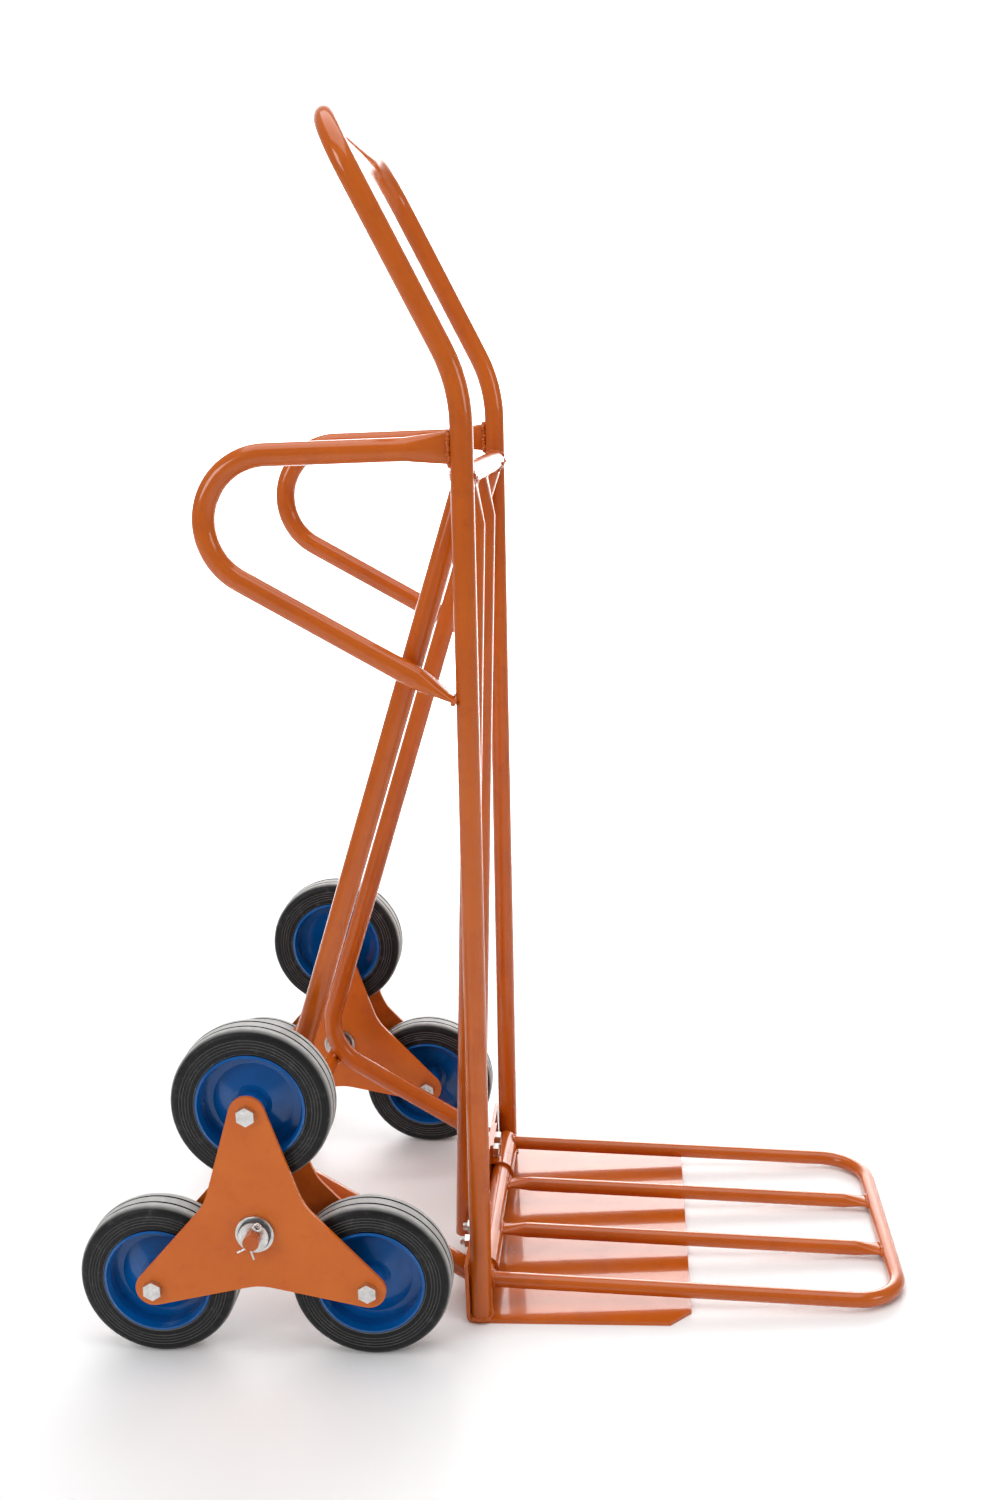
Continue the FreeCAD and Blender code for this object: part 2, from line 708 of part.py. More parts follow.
def beside_axle(reach):
    """Give the point this far from the axle's middle along a split pin."""
    x = "axle_x + (%s) * sin(%s)" % (reach, PIN_TURN)
    z = "%s + (%s) * cos(%s)" % (AXLE_Z, reach, PIN_TURN)
    return x, z


def make_split_pin(where, side, y):
    """Form a split pin: an eye, a straight shank and two legs spread apart."""
    name = "%s_split_pin_%s" % (where, side)
    reach = "(axle_r + pin_stand)"
    x, z = beside_axle("0 - " + reach)
    shank = part_cylinder(name + "_shank", "pin_wire_r", "2 * " + reach, x, y, z,
                          axis=(0, 1, 0), angle=PIN_TURN)
    eye = doc.addObject("Part::Torus", name + "_eye")
    bind(eye, "Radius1", "pin_eye_r")
    bind(eye, "Radius2", "pin_wire_r")
    eye_x, eye_z = beside_axle(reach + " + pin_eye_r")
    place(eye, eye_x, y, eye_z, (1, 0, 0), 90)
    legs = []
    for k, spread in enumerate(("pin_spread", "0 - pin_spread")):
        turn = "(%s + 180 + %s)" % (PIN_TURN, spread)
        legs.append(part_cylinder("%s_leg%d" % (name, k), "pin_leg_r", "pin_leg", x, y, z,
                                  axis=(0, 1, 0), angle=turn))
    keep(fuse(name, [shank, eye] + legs), name)


def make_washer(name, label, y):
    """Cut a plain washer for the axle, lying flat from y outwards along +Y."""
    outer = part_cylinder(name + "_disc", "axle_washer_r", "axle_washer_thick", "axle_x", y, AXLE_Z, **ALONG_Y)
    hole = part_cylinder(name + "_hole", "axle_r", "axle_washer_thick", "axle_x", y, AXLE_Z, **ALONG_Y)
    keep(cut(label, outer, [hole]), label)


def make_axle_hardware():
    """Lock each star on the axle with a washer and a split pin on both its sides."""
    for side, sign in SIDES.items():
        out = "%s + axle_washer_gap" % BUSH_OUT
        starts = {
            ("outer", 1): "%s + %s" % (STAR_Y, out),
            ("inner", 1): "%s - (%s) - axle_washer_thick" % (STAR_Y, out),
            ("outer", -1): "0 - %s - (%s) - axle_washer_thick" % (STAR_Y, out),
            ("inner", -1): "0 - %s + %s" % (STAR_Y, out),
        }
        for where, y in pin_places(sign).items():
            label = "%s_axle_washer_%s" % (where, side)
            make_washer(label, label, starts[(where, sign)])
            make_split_pin(where, side, y)


# ------------------------------------------------------------------------ hinge


def clip_bolt_y(sign, k):
    """Say where across the truck a clip's bolt lies; k is -1 for its first and 1 for its second."""
    return "%d * %s + %d * clip_bolt_pitch / 2" % (sign, CLIP_Y, k)


def make_hinge_clip(side, sign):
    """Wrap a strap clip round the hinge tube, with a flange up the face of the lip."""
    name = "hinge_clip_" + side
    y = "(%d * %s - clip_width / 2)" % (sign, CLIP_Y)
    inner_r = "(tube_od / 2 + hinge_gap)"
    outer_r = "(tube_od / 2 + hinge_gap + clip_thick)"
    depth = "(%s - %s)" % (HINGE_X, LIP_FRONT)
    flange = part_box(name + "_flange", "clip_thick", "clip_width", "lip_height - hinge_z",
                      LIP_FRONT, y, "hinge_z")
    saddle = part_box(name + "_saddle", depth, "clip_width", "2 * " + outer_r,
                      LIP_FRONT, y, "hinge_z - " + outer_r)
    nose = part_cylinder(name + "_nose", outer_r, "clip_width", HINGE_X, y, "hinge_z", **ALONG_Y)
    shell = fuse(name + "_shell", [flange, saddle, nose])
    slot = part_box(name + "_slot", depth, "clip_width", "2 * " + inner_r,
                    LIP_FRONT, y, "hinge_z - " + inner_r)
    bore = part_cylinder(name + "_bore", inner_r, "clip_width", HINGE_X, y, "hinge_z", **ALONG_Y)
    behind = part_box(name + "_behind", outer_r, "clip_width", "2 * " + outer_r,
                      "%s - %s" % (LIP_FRONT, outer_r), y, "hinge_z - " + outer_r)
    tools = [slot, bore, behind]
    for k in (-1, 1):
        hole_y = clip_bolt_y(sign, k)
        tools.append(part_cylinder("%s_hole%d" % (name, k + 1), "clip_bolt_r", "2 * clip_thick",
                                   LIP_FRONT + " - clip_thick / 2", hole_y, CLIP_BOLT_Z, **ALONG_X))
    keep(cut(name, shell, tools), name)


def hexagon(sketch, across_flats, name, x=0, y=0, turn=0):
    """Draw a hexagon by its size across the flats."""
    radius = "(%s) / (2 * cos(30))" % across_flats
    corners = []
    for k in range(6):
        angle = 60 * k + turn
        corners.append(("%s + %s * cos(%d)" % (x, radius, angle), "%s + %s * sin(%d)" % (y, radius, angle)))
    draw(sketch, corners, name=name)


def make_clip_bolts(side, sign):
    """Set two hexagon bolts through a clip's flange and the lip."""
    name = "clip_bolts_" + side
    body = new_body(name)
    heads = new_sketch(body, name + "_heads", "YZ_Plane", LIP_FRONT + " + clip_thick")
    shanks = new_sketch(body, name + "_shanks", "YZ_Plane", LIP_FRONT + " + clip_thick")
    for k in (-1, 1):
        y = clip_bolt_y(sign, k)
        hexagon(heads, "clip_head_af", "head%d_" % (k + 1), y, CLIP_BOLT_Z, 30)
        add_circle(shanks, y, CLIP_BOLT_Z, "clip_bolt_r", "shank%d" % (k + 1))
    pad(body, heads, "clip_head_thick", name + "_head_pad")
    pad(body, shanks, "clip_bolt_grip", name + "_shank_pad", backwards=True)
    keep(body, name)


def make_clip_nuts(side, sign):
    """Set the two nuts of a clip on the lip's back."""
    name = "clip_nuts_" + side
    body = new_body(name)
    sketch = new_sketch(body, name + "_faces", "YZ_Plane", LIP_BACK)
    for k in (-1, 1):
        y = clip_bolt_y(sign, k)
        hexagon(sketch, "clip_head_af", "nut%d_" % (k + 1), y, CLIP_BOLT_Z, 30)
        add_circle(sketch, y, CLIP_BOLT_Z, "clip_bolt_r", "bore%d" % (k + 1))
    pad(body, sketch, "clip_nut_thick", name + "_pad", backwards=True)
    keep(body, name)


# -------------------------------------------------------------------- extension


def place_extension(item):
    """Hang a piece of the extension on the hinge, sloping to the floor."""
    place(item, HINGE_X, 0, "hinge_z", (0, 1, 0), RAIL_DROP)


def make_hinge_tube():
    """Cut the tube that turns in the clips."""
    body = new_body("hinge_tube")
    ring = new_sketch(body, "hinge_ring", "XZ_Plane")
    tube_ring(ring, TUBE_R, "tube_wall")
    pad(body, ring, "2 * " + HINGE_HALF, "hinge_pad", both_ways=True)
    place_extension(body)
    keep(body, "hinge_tube")


def make_extension_loop():
    """Bend the extension's outer loop and cope its ends to the hinge tube."""
    body = new_body("extension_loop")
    path = new_sketch(body, "rail_path", "XY_Plane")
    draw(path, [
        (0, "0 - " + RAIL_Y),
        ("rail_reach", "0 - " + RAIL_Y, "rail_bend"),
        ("rail_reach", RAIL_Y, "rail_bend"),
        (0, RAIL_Y),
    ], closed=False)
    ring = cross_section(body, "rail_section", 0, "0 - " + RAIL_Y, 0)
    tube_ring(ring, RAIL_R, "rail_wall")
    pipe(body, ring, path, "rail_tube")
    cope = new_sketch(body, "rail_cope", "XZ_Plane")
    add_circle(cope, 0, 0, TUBE_R, "cope")
    pocket(body, cope, RIGHT_THROUGH, "rail_coped")
    place_extension(body)
    keep(body, "extension_loop")


def make_extension_bar(side, sign):
    """Make an inner bar with both ends pressed flat against its neighbours."""
    name = "extension_bar_" + side
    y = "(%d * bar_y)" % sign
    back = "(%s)" % TUBE_R
    front = "(rail_reach - %s)" % RAIL_R
    body = new_body(name)
    ring = cross_section(body, name + "_ring", back + " + bar_flat", y, 0)
    tube_ring(ring, RAIL_R, "rail_wall")
    pad(body, ring, "%s - %s - 2 * bar_flat" % (front, back), name + "_tube")
    for end, root_x, tip_x in (("back", back + " + bar_flat", back), ("front", front + " - bar_flat", front)):
        root = cross_section(body, "%s_%s_round" % (name, end), root_x, y, 0)
        add_circle(root, 0, 0, RAIL_R, "round")
        tip = cross_section(body, "%s_%s_flat" % (name, end), tip_x, y, 0)
        add_ellipse(tip, "bar_flat_half", "bar_flat_thin", "flat")
        loft(body, root, tip, "%s_%s_press" % (name, end))
    place_extension(body)
    keep(body, name)


# ------------------------------------------------------------------ wheel stars


def place_star(item, sign):
    """Put a piece of a star on the axle; the right star is turned to face outwards."""
    place(item, "axle_x", "%d * %s" % (sign, STAR_Y), AXLE_Z, (0, 0, 1), 0 if sign > 0 else 180)


def make_star_plate(label, side, sign, near, lift):
    """Cut a three-lobed plate from near its middle, lifted along the axle."""
    name = "%s_plate_%s" % (label, side)
    body = new_body(name)
    petal = new_sketch(body, name + "_petal", "XZ_Plane", "0 - (%s)" % lift)
    reach = "sqrt(star_waist * star_waist + star_arm * star_arm - star_waist * star_arm)"
    bearing = "atan((star_arm - star_waist / 2) / (star_waist * sin(60)))"
    flank = "(%s + asin(star_lobe_r / %s))" % (bearing, reach)
    peak = "(star_waist / 2 + star_waist * sin(60) * tan(%s))" % flank
    far = "(star_arm + star_lobe_r)"
    near_top = "((%s - %s) / tan(%s))" % (peak, far, flank)
    draw(petal, [
        (0, 0),
        ("star_waist * sin(60)", "star_waist / 2"),
        (near_top, far, LOBE_FIT),
        ("0 - " + near_top, far, LOBE_FIT),
        ("0 - star_waist * sin(60)", "star_waist / 2"),
    ])
    leaf = pad(body, petal, "star_plate", name + "_leaf")
    fan = body.newObject("PartDesign::PolarPattern", name + "_fan")
    fan.Originals = [leaf]
    fan.Axis = (origin_item(body, "Y_Axis"), [""])
    fan.Angle = 360
    fan.Occurrences = LOBES
    body.Tip = fan
    holes = new_sketch(body, name + "_holes", "XZ_Plane", "0 - (%s)" % lift)
    add_circle(holes, 0, 0, "sleeve_r", "middle")
    for k in range(LOBES):
        turn = 120 * k
        add_circle(holes, "star_arm * sin(%d)" % turn, "star_arm * cos(%d)" % turn, "bolt_r", "bolt%d" % k)
    pocket(body, holes, RIGHT_THROUGH, name + "_drilled")
    doc.recompute()
    soften_waists(body, name)
    place_star(body, sign)
    keep(body, name)


def soften_waists(body, name):
    """Round the three hollow corners between the lobes."""
    tip = body.Tip
    waist = number("star_waist")
    picked = []
    for i, edge in enumerate(tip.Shape.Edges, start=1):
        ends = [v.Point for v in edge.Vertexes]
        along_axis = len(ends) == 2 and abs((ends[1] - ends[0]).normalize().y) > 0.99
        if along_axis and abs(math.hypot(ends[0].x, ends[0].z) - waist) < waist * 0.01:
            picked.append("Edge%d" % i)
    item = body.newObject("PartDesign::Fillet", name + "_waists")
    item.Base = (tip, picked)
    item.Radius = number("star_waist_fillet")
    bind(item, "Radius", "star_waist_fillet")


def make_sleeve(side, sign):
    """Cut the sleeve that joins the two plates of a star."""
    body = new_body("hub_sleeve_" + side)
    ring = new_sketch(body, "sleeve_ring_" + side, "XZ_Plane")
    tube_ring(ring, "sleeve_r", "sleeve_wall")
    pad(body, ring, "2 * (%s + sleeve_stand)" % STAR_OUT, "sleeve_pad_" + side, both_ways=True)
    place_star(body, sign)
    keep(body, "hub_sleeve_" + side)


def make_bushes(side, sign):
    """Press a plain bush into each end of the sleeve."""
    body = new_body("axle_bushes_" + side)
    for end, lift in (("out", "0 - " + BUSH_OUT), ("in", BUSH_OUT)):
        ring = new_sketch(body, "bush_%s_%s" % (end, side), "XZ_Plane", lift)
        add_circle(ring, 0, 0, "sleeve_r - sleeve_wall", "outside")
        add_circle(ring, 0, 0, "axle_r + bush_clear", "bore")
        pad(body, ring, "bush_long", "bush_%s_pad_%s" % (end, side), backwards=end == "in")
    place_star(body, sign)
    keep(body, "axle_bushes_" + side)


def star_pattern(body, name, originals):
    """Repeat features at the three lobes."""
    fan = body.newObject("PartDesign::PolarPattern", name)
    fan.Originals = originals
    fan.Axis = (origin_item(body, "Y_Axis"), [""])
    fan.Angle = 360
    fan.Occurrences = LOBES
    body.Tip = fan
    return fan


def make_wheel_bolts(side, sign):
    """Set a hexagon bolt through both plates at each lobe, its head outside."""
    name = "wheel_bolts_" + side
    body = new_body(name)
    head = new_sketch(body, name + "_head", "XZ_Plane", "0 - " + STAR_OUT)
    hexagon(head, "bolt_af", "head", 0, "star_arm", 30)
    head_pad = pad(body, head, "bolt_head", name + "_head_pad", backwards=True)
    shank = new_sketch(body, name + "_shank", "XZ_Plane", "0 - " + STAR_OUT)
    add_circle(shank, 0, "star_arm", "bolt_r", "shank")
    shank_pad = pad(body, shank, "2 * %s + bolt_tail" % STAR_OUT, name + "_shank_pad")
    star_pattern(body, name + "_fan", [head_pad, shank_pad])
    place_star(body, sign)
    keep(body, name)


def make_wheel_nuts(side, sign):
    """Set a nut on the inner plate at each lobe."""
    name = "wheel_nuts_" + side
    body = new_body(name)
    sketch = new_sketch(body, name + "_face", "XZ_Plane", STAR_OUT)
    hexagon(sketch, "bolt_af", "nut", 0, "star_arm", 30)
    add_circle(sketch, 0, "star_arm", "bolt_r", "bore")
    nut = pad(body, sketch, "nut_thick", name + "_pad")
    star_pattern(body, name + "_fan", [nut])
    place_star(body, sign)
    keep(body, name)


def make_spacers(side, sign):
    """Set a spacer ring against both plates at each lobe."""
    name = "wheel_spacers_" + side
    body = new_body(name)
    made = []
    for end, lift, backwards in (("out", "0 - star_gap_half", False), ("in", "star_gap_half", True)):
        sketch = new_sketch(body, "%s_%s" % (name, end), "XZ_Plane", lift)
        add_circle(sketch, 0, "star_arm", "spacer_r", "outside")
        add_circle(sketch, 0, "star_arm", "bolt_r", "bore")
        made.append(pad(body, sketch, "spacer_thick", "%s_%s_pad" % (name, end), backwards=backwards))
    star_pattern(body, name + "_fan", made)
    place_star(body, sign)
    keep(body, name)


# ----------------------------------------------------------------------- wheels


def place_wheel(item, sign, lobe):
    """Put a piece of a wheel on its bolt."""
    turn = 120 * lobe
    x = "axle_x + star_arm * sin(%d)" % turn
    z = "%s + star_arm * cos(%d)" % (AXLE_Z, turn)
    place(item, x, "%d * %s" % (sign, STAR_Y), z, (0, 0, 1), 0 if sign > 0 else 180)


def make_tyre(label, sign, lobe):
    """Mould a solid tyre with two tread grooves and fine rings round its walls."""
    body = new_body(label)
    profile = new_sketch(body, label + "_profile", "XY_Plane")
    half = "(tyre_width / 2)"
    foot = "(rim_r + rim_lip + tyre_foot_gap)"
    wall = "(wheel_r - tyre_shoulder - %s)" % foot
    upper = [("rim_r", "tyre_seat_half"), (foot, half)]
    for k in range(WALL_GROOVES):
        middle = "%s + (wall_groove_start + %d * wall_groove_step) * %s" % (foot, k, wall)
        upper.append(("%s - wall_groove_half * %s" % (middle, wall), half))
        upper.append((middle, half + " - wall_groove_deep"))
        upper.append(("%s + wall_groove_half * %s" % (middle, wall), half))
    upper.append(("wheel_r", half, "tyre_shoulder"))
    upper.append(("wheel_r", "tread_groove_y + tread_groove_half"))
    upper.append(("wheel_r - tread_groove_deep", "tread_groove_y"))
    upper.append(("wheel_r", "tread_groove_y - tread_groove_half"))
    lower = [(c[0], "0 - (%s)" % c[1]) + tuple(c[2:]) for c in reversed(upper)]
    draw(profile, upper + lower)
    revolve(body, profile, label + "_turned")
    place_wheel(body, sign, lobe)
    keep(body, label)


def make_rim(label, sign, lobe):
    """Spin a dished rim with rolled lips and a hub boss."""
    body = new_body(label)
    profile = new_sketch(body, label + "_profile", "XY_Plane")
    half = "(tyre_seat_half)"
    lip = "(rim_r + rim_lip)"
    draw(profile, [
        ("rim_r", half),
        ("rim_r", "0 - " + half),
        (lip, "0 - tyre_width / 2"),
        (lip + " - rim_sheet", "0 - tyre_width / 2 - rim_roll"),
        ("rim_r - rim_sheet", "0 - %s - rim_roll" % half),
        ("rim_r - rim_sheet", "0 - rim_sheet / 2"),
        ("rim_web_r", "0 - rim_sheet / 2"),
        ("hub_r + rim_flat", "rim_dish - rim_sheet"),
        ("hub_r", "rim_dish - rim_sheet"),
        ("hub_r", "0 - " + HUB_HALF),
        ("hub_bore_r", "0 - " + HUB_HALF),
        ("hub_bore_r", HUB_HALF),
        ("hub_r", HUB_HALF),
        ("hub_r", "rim_dish"),
        ("hub_r + rim_flat", "rim_dish"),
        ("rim_web_r", "rim_sheet / 2"),
        ("rim_r - rim_sheet", "rim_sheet / 2"),
        ("rim_r - rim_sheet", half + " + rim_roll"),
        (lip + " - rim_sheet", "tyre_width / 2 + rim_roll"),
        (lip, "tyre_width / 2"),
    ])
    revolve(body, profile, label + "_spun")
    place_wheel(body, sign, lobe)
    keep(body, label)


def make_wheel_bush(label, sign, lobe):
    """Cut the bearing bush between a rim's hub and its bolt."""
    body = new_body(label)
    ring = new_sketch(body, label + "_ring", "XZ_Plane")
    add_circle(ring, 0, 0, "hub_bore_r", "outside")
    add_circle(ring, 0, 0, "bolt_r + wheel_bush_clear", "bore")
    pad(body, ring, "2 * " + HUB_HALF, label + "_pad", both_ways=True)
    place_wheel(body, sign, lobe)
    keep(body, label)


# --------------------------------------------------------------------- assembly


def build_all():
    """Make every sub-part of the truck."""
    make_frame_loop()
    make_back_crossbar()
    make_toe_plate()
    make_axle()
    make_axle_hardware()
    make_hinge_tube()
    make_extension_loop()
    for side, sign in SIDES.items():
        make_slat(side, sign)
        make_grip(side, sign)
        make_stay(side, sign)
        make_hinge_clip(side, sign)
        make_clip_bolts(side, sign)
        make_clip_nuts(side, sign)
        make_extension_bar(side, sign)
        make_star_plate("outer", side, sign, "star_gap_half", STAR_OUT)
        make_star_plate("inner", side, sign, "star_gap_half", "0 - star_gap_half")
        make_sleeve(side, sign)
        make_bushes(side, sign)
        make_wheel_bolts(side, sign)
        make_wheel_nuts(side, sign)
        make_spacers(side, sign)
        for lobe in range(LOBES):
            tag = "%s_%d" % (side, lobe + 1)
            make_tyre("tyre_" + tag, sign, lobe)
            make_rim("rim_" + tag, sign, lobe)
            make_wheel_bush("wheel_bush_" + tag, sign, lobe)


def check_document():
    """Stop if any object failed or any sub-part has a bad shape."""
    for item in doc.Objects:
        if "Invalid" in item.State or "Error" in item.State:
            raise RuntimeError("failed object: %s (%s)" % (item.Name, item.State))
    for item in pieces:
        if item.Shape.isNull() or not item.Shape.isValid():
            raise RuntimeError("bad shape: " + item.Label)


build_all()
doc.recompute()
check_document()
os.makedirs("parts", exist_ok=True)
for item in pieces:
    item.Shape.exportStep(os.path.join("parts", item.Label + ".step"))
print("wrote", len(pieces), "sub-parts")
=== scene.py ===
"""Looks of a stair-climbing hand truck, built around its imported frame."""

import json
import logging
import math
import random
from dataclasses import dataclass
from enum import Enum
from typing import ClassVar

import bmesh
import bpy
from mathutils import Matrix, Vector

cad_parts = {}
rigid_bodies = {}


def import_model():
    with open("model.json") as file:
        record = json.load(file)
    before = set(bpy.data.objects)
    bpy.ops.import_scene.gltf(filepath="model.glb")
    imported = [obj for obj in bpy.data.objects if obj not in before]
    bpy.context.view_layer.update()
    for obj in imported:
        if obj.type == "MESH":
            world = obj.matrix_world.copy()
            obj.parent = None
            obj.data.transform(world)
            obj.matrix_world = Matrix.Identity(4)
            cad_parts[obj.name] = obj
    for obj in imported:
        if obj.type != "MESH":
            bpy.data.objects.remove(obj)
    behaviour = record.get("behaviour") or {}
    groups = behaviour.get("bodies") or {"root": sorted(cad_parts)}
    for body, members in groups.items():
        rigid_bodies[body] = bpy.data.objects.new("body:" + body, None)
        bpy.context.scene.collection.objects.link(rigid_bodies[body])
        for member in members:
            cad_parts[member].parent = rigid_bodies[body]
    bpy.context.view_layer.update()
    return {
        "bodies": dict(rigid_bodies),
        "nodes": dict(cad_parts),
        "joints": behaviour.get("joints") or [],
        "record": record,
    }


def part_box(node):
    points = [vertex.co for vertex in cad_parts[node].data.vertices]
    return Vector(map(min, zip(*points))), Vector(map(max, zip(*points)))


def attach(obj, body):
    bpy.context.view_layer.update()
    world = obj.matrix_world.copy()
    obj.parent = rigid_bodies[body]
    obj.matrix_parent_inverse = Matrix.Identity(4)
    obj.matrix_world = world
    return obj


LOG = logging.getLogger("hand_truck")
LOBES = 3


class Slot(Enum):
    """The finishes that the record names."""

    ORANGE = "orange_paint"
    BLUE = "blue_paint"
    ZINC = "zinc_steel"
    RUBBER = "black_rubber"
    NYLON = "bush_plastic"


class Side(Enum):
    """The two halves of the truck, each with the sign of its Y."""

    LEFT = 1
    RIGHT = -1

    @property
    def word(self) -> str:
        """Name the side as the nodes do."""
        return self.name.lower()


# ---------------------------------------------------------------- shader maths


class Signal:
    """A value that leaves a shader node, with ordinary arithmetic on it."""

    def __init__(self, graph: "Graph", socket: bpy.types.NodeSocket) -> None:
        """Hold the socket and the graph it belongs to."""
        self.graph = graph
        self.socket = socket

    def _maths(self, operation: str, first: object, second: object) -> "Signal":
        """Add one Math node."""
        return self.graph.signal("ShaderNodeMath", {"operation": operation}, {0: first, 1: second})

    def __add__(self, other: object) -> "Signal":
        """Add a number or another signal."""
        return self._maths("ADD", self, other)

    def __radd__(self, other: object) -> "Signal":
        """Add this signal to a number."""
        return self._maths("ADD", other, self)

    def __sub__(self, other: object) -> "Signal":
        """Take a number or another signal away."""
        return self._maths("SUBTRACT", self, other)

    def __rsub__(self, other: object) -> "Signal":
        """Take this signal from a number."""
        return self._maths("SUBTRACT", other, self)

    def __mul__(self, other: object) -> "Signal":
        """Multiply by a number or another signal."""
        return self._maths("MULTIPLY", self, other)

    def __rmul__(self, other: object) -> "Signal":
        """Multiply a number by this signal."""
        return self._maths("MULTIPLY", other, self)


class Graph:
    """The node tree of one material."""

    def __init__(self, name: str) -> None:
        """Start an empty material.

        Args:
            name: the material's name.
        """
        self.material = bpy.data.materials.new(name)
        self.material.use_nodes = True
        self.tree = self.material.node_tree
        self.tree.nodes.clear()

    def node(self, kind: str, settings: dict | None = None, inputs: dict | None = None) -> bpy.types.Node:
        """Add a node.

        Args:
            kind: the node's type name.
            settings: what is set on the node first; "stops" holds a ramp's places and colours.
            inputs: numbers, colours or signals for its sockets, by name or index.

        Returns:
            The new node.
        """
        made = self.tree.nodes.new(kind)
        for key, value in (settings or {}).items():
            if key == "stops":
                self._set_stops(made.color_ramp, value)
            else:
                setattr(made, key, value)
        for key, value in (inputs or {}).items():
            if isinstance(value, Signal):
                self.tree.links.new(value.socket, made.inputs[key])
            else:
                made.inputs[key].default_value = value
        return made

    @staticmethod
    def _set_stops(ramp: bpy.types.ColorRamp, stops: list) -> None:
        """Give a ramp its places and colours.

        Args:
            ramp: the ramp, which starts with two stops.
            stops: pairs of a place and a grey level.
        """
        for spare in range(len(stops) - 2):
            ramp.elements.new(spare / len(stops))
        for element, (place, level) in zip(ramp.elements, stops):
            element.position = place
            element.color = (level, level, level, 1.0)

    def signal(self, kind: str, settings: dict | None = None, inputs: dict | None = None,
               output: object = 0) -> Signal:
        """Add a node and give the signal of one of its outputs."""
        return Signal(self, self.node(kind, settings, inputs).outputs[output])

    def place(self) -> Signal:
        """Give the point on the object."""
        return self.signal("ShaderNodeTexCoord", None, None, "Object")

    def noise(self, scale: float, detail: float = 2.0, roughness: float = 0.5) -> Signal:
        """Give a soft cloud of this many lumps to the metre."""
        inputs = {"Vector": self.place(), "Scale": scale, "Detail": detail, "Roughness": roughness}
        return self.signal("ShaderNodeTexNoise", None, inputs, 0)

    def band(self, value: Signal, low: float, high: float) -> Signal:
        """Turn a signal into 0 below low and 1 above high."""
        return self.signal("ShaderNodeValToRGB", {"stops": [(low, 0.0), (high, 1.0)]}, {0: value})

    def blend(self, factor: object, first: object, second: object) -> Signal:
        """Mix two colours."""
        return self.signal("ShaderNodeMix", {"data_type": "RGBA"}, {0: factor, 6: first, 7: second}, 2)

    def bump(self, height: Signal, depth: float, strength: float = 1.0) -> Signal:
        """Turn a height into a normal."""
        inputs = {"Height": height, "Distance": depth, "Strength": strength}
        return self.signal("ShaderNodeBump", None, inputs)

    def finish(self, inputs: dict) -> bpy.types.Material:
        """Close the tree with a surface shader.

        Args:
            inputs: what goes into the shader's sockets.

        Returns:
            The finished material.
        """
        shader = self.signal("ShaderNodeBsdfPrincipled", None, inputs)
        self.node("ShaderNodeOutputMaterial", None, {"Surface": shader})
        return self.material


# -------------------------------------------------------------------- finishes


@dataclass(frozen=True)
class Enamel:
    """Stove enamel on steel, with orange peel, faint clouding and scuffs.

    Attributes:
        name: the material's name.
        colour: where the coat is thick.
        deep: where it is thin and the colour deepens.
        roughness: of the clean coat.
        scuffs: how strongly scuffs show, from 0 to 1.
        coat: how much clear gloss lies on top.
        shine: how strongly the colour coat itself reflects.
    """

    name: str
    colour: tuple[float, float, float, float]
    deep: tuple[float, float, float, float]
    roughness: float
    scuffs: float
    coat: float
    shine: float
    peel_depth: ClassVar[float] = 0.00025

    def material(self) -> bpy.types.Material:
        """Make the enamel.

        Returns:
            The material.
        """
        graph = Graph(self.name)
        cloud = graph.band(graph.noise(scale=11.0, detail=4.0), low=0.35, high=0.7)
        patch = graph.band(graph.noise(scale=46.0, detail=6.0, roughness=0.65), low=0.52, high=0.72)
        scratch = graph.band(graph.noise(scale=240.0, detail=8.0, roughness=0.75), low=0.6, high=0.74)
        worn = patch * scratch * self.scuffs
        tone = graph.blend(cloud * 0.45 + patch * 0.3, self.colour, self.deep)
        pale = tuple(0.5 * part + 0.32 for part in self.colour[:3]) + (1.0,)
        peel = graph.noise(scale=420.0) + graph.noise(scale=1500.0, detail=1.0) * 0.3
        return graph.finish({
            "Base Color": graph.blend(worn, tone, pale),
            "Roughness": cloud * 0.06 + worn * 0.35 + patch * 0.05 + self.roughness,
            "Normal": graph.bump(peel - worn * 0.6, self.peel_depth, 0.35),
            "Specular IOR Level": self.shine,
            "Coat Weight": self.coat,
            "Coat Roughness": 0.05,
        })


@dataclass(frozen=True)
class ZincPlate:
    """Bright zinc plating, faintly mottled and brushed."""

    name: str = "bright_zinc"
    bright: tuple[float, float, float, float] = (0.78, 0.78, 0.77, 1.0)
    dull: tuple[float, float, float, float] = (0.56, 0.55, 0.53, 1.0)
    grain_depth: ClassVar[float] = 0.0001

    def material(self) -> bpy.types.Material:
        """Make the plating.

        Returns:
            The material.
        """
        graph = Graph(self.name)
        mottle = graph.band(graph.noise(scale=160.0, detail=5.0, roughness=0.6), low=0.35, high=0.7)
        grain = graph.noise(scale=1900.0, detail=3.0, roughness=0.6)
        return graph.finish({
            "Base Color": graph.blend(mottle, self.bright, self.dull),
            "Metallic": 1.0,
            "Roughness": mottle * 0.16 + grain * 0.1 + 0.2,
            "Normal": graph.bump(grain + mottle * 0.4, self.grain_depth, 0.5),
        })


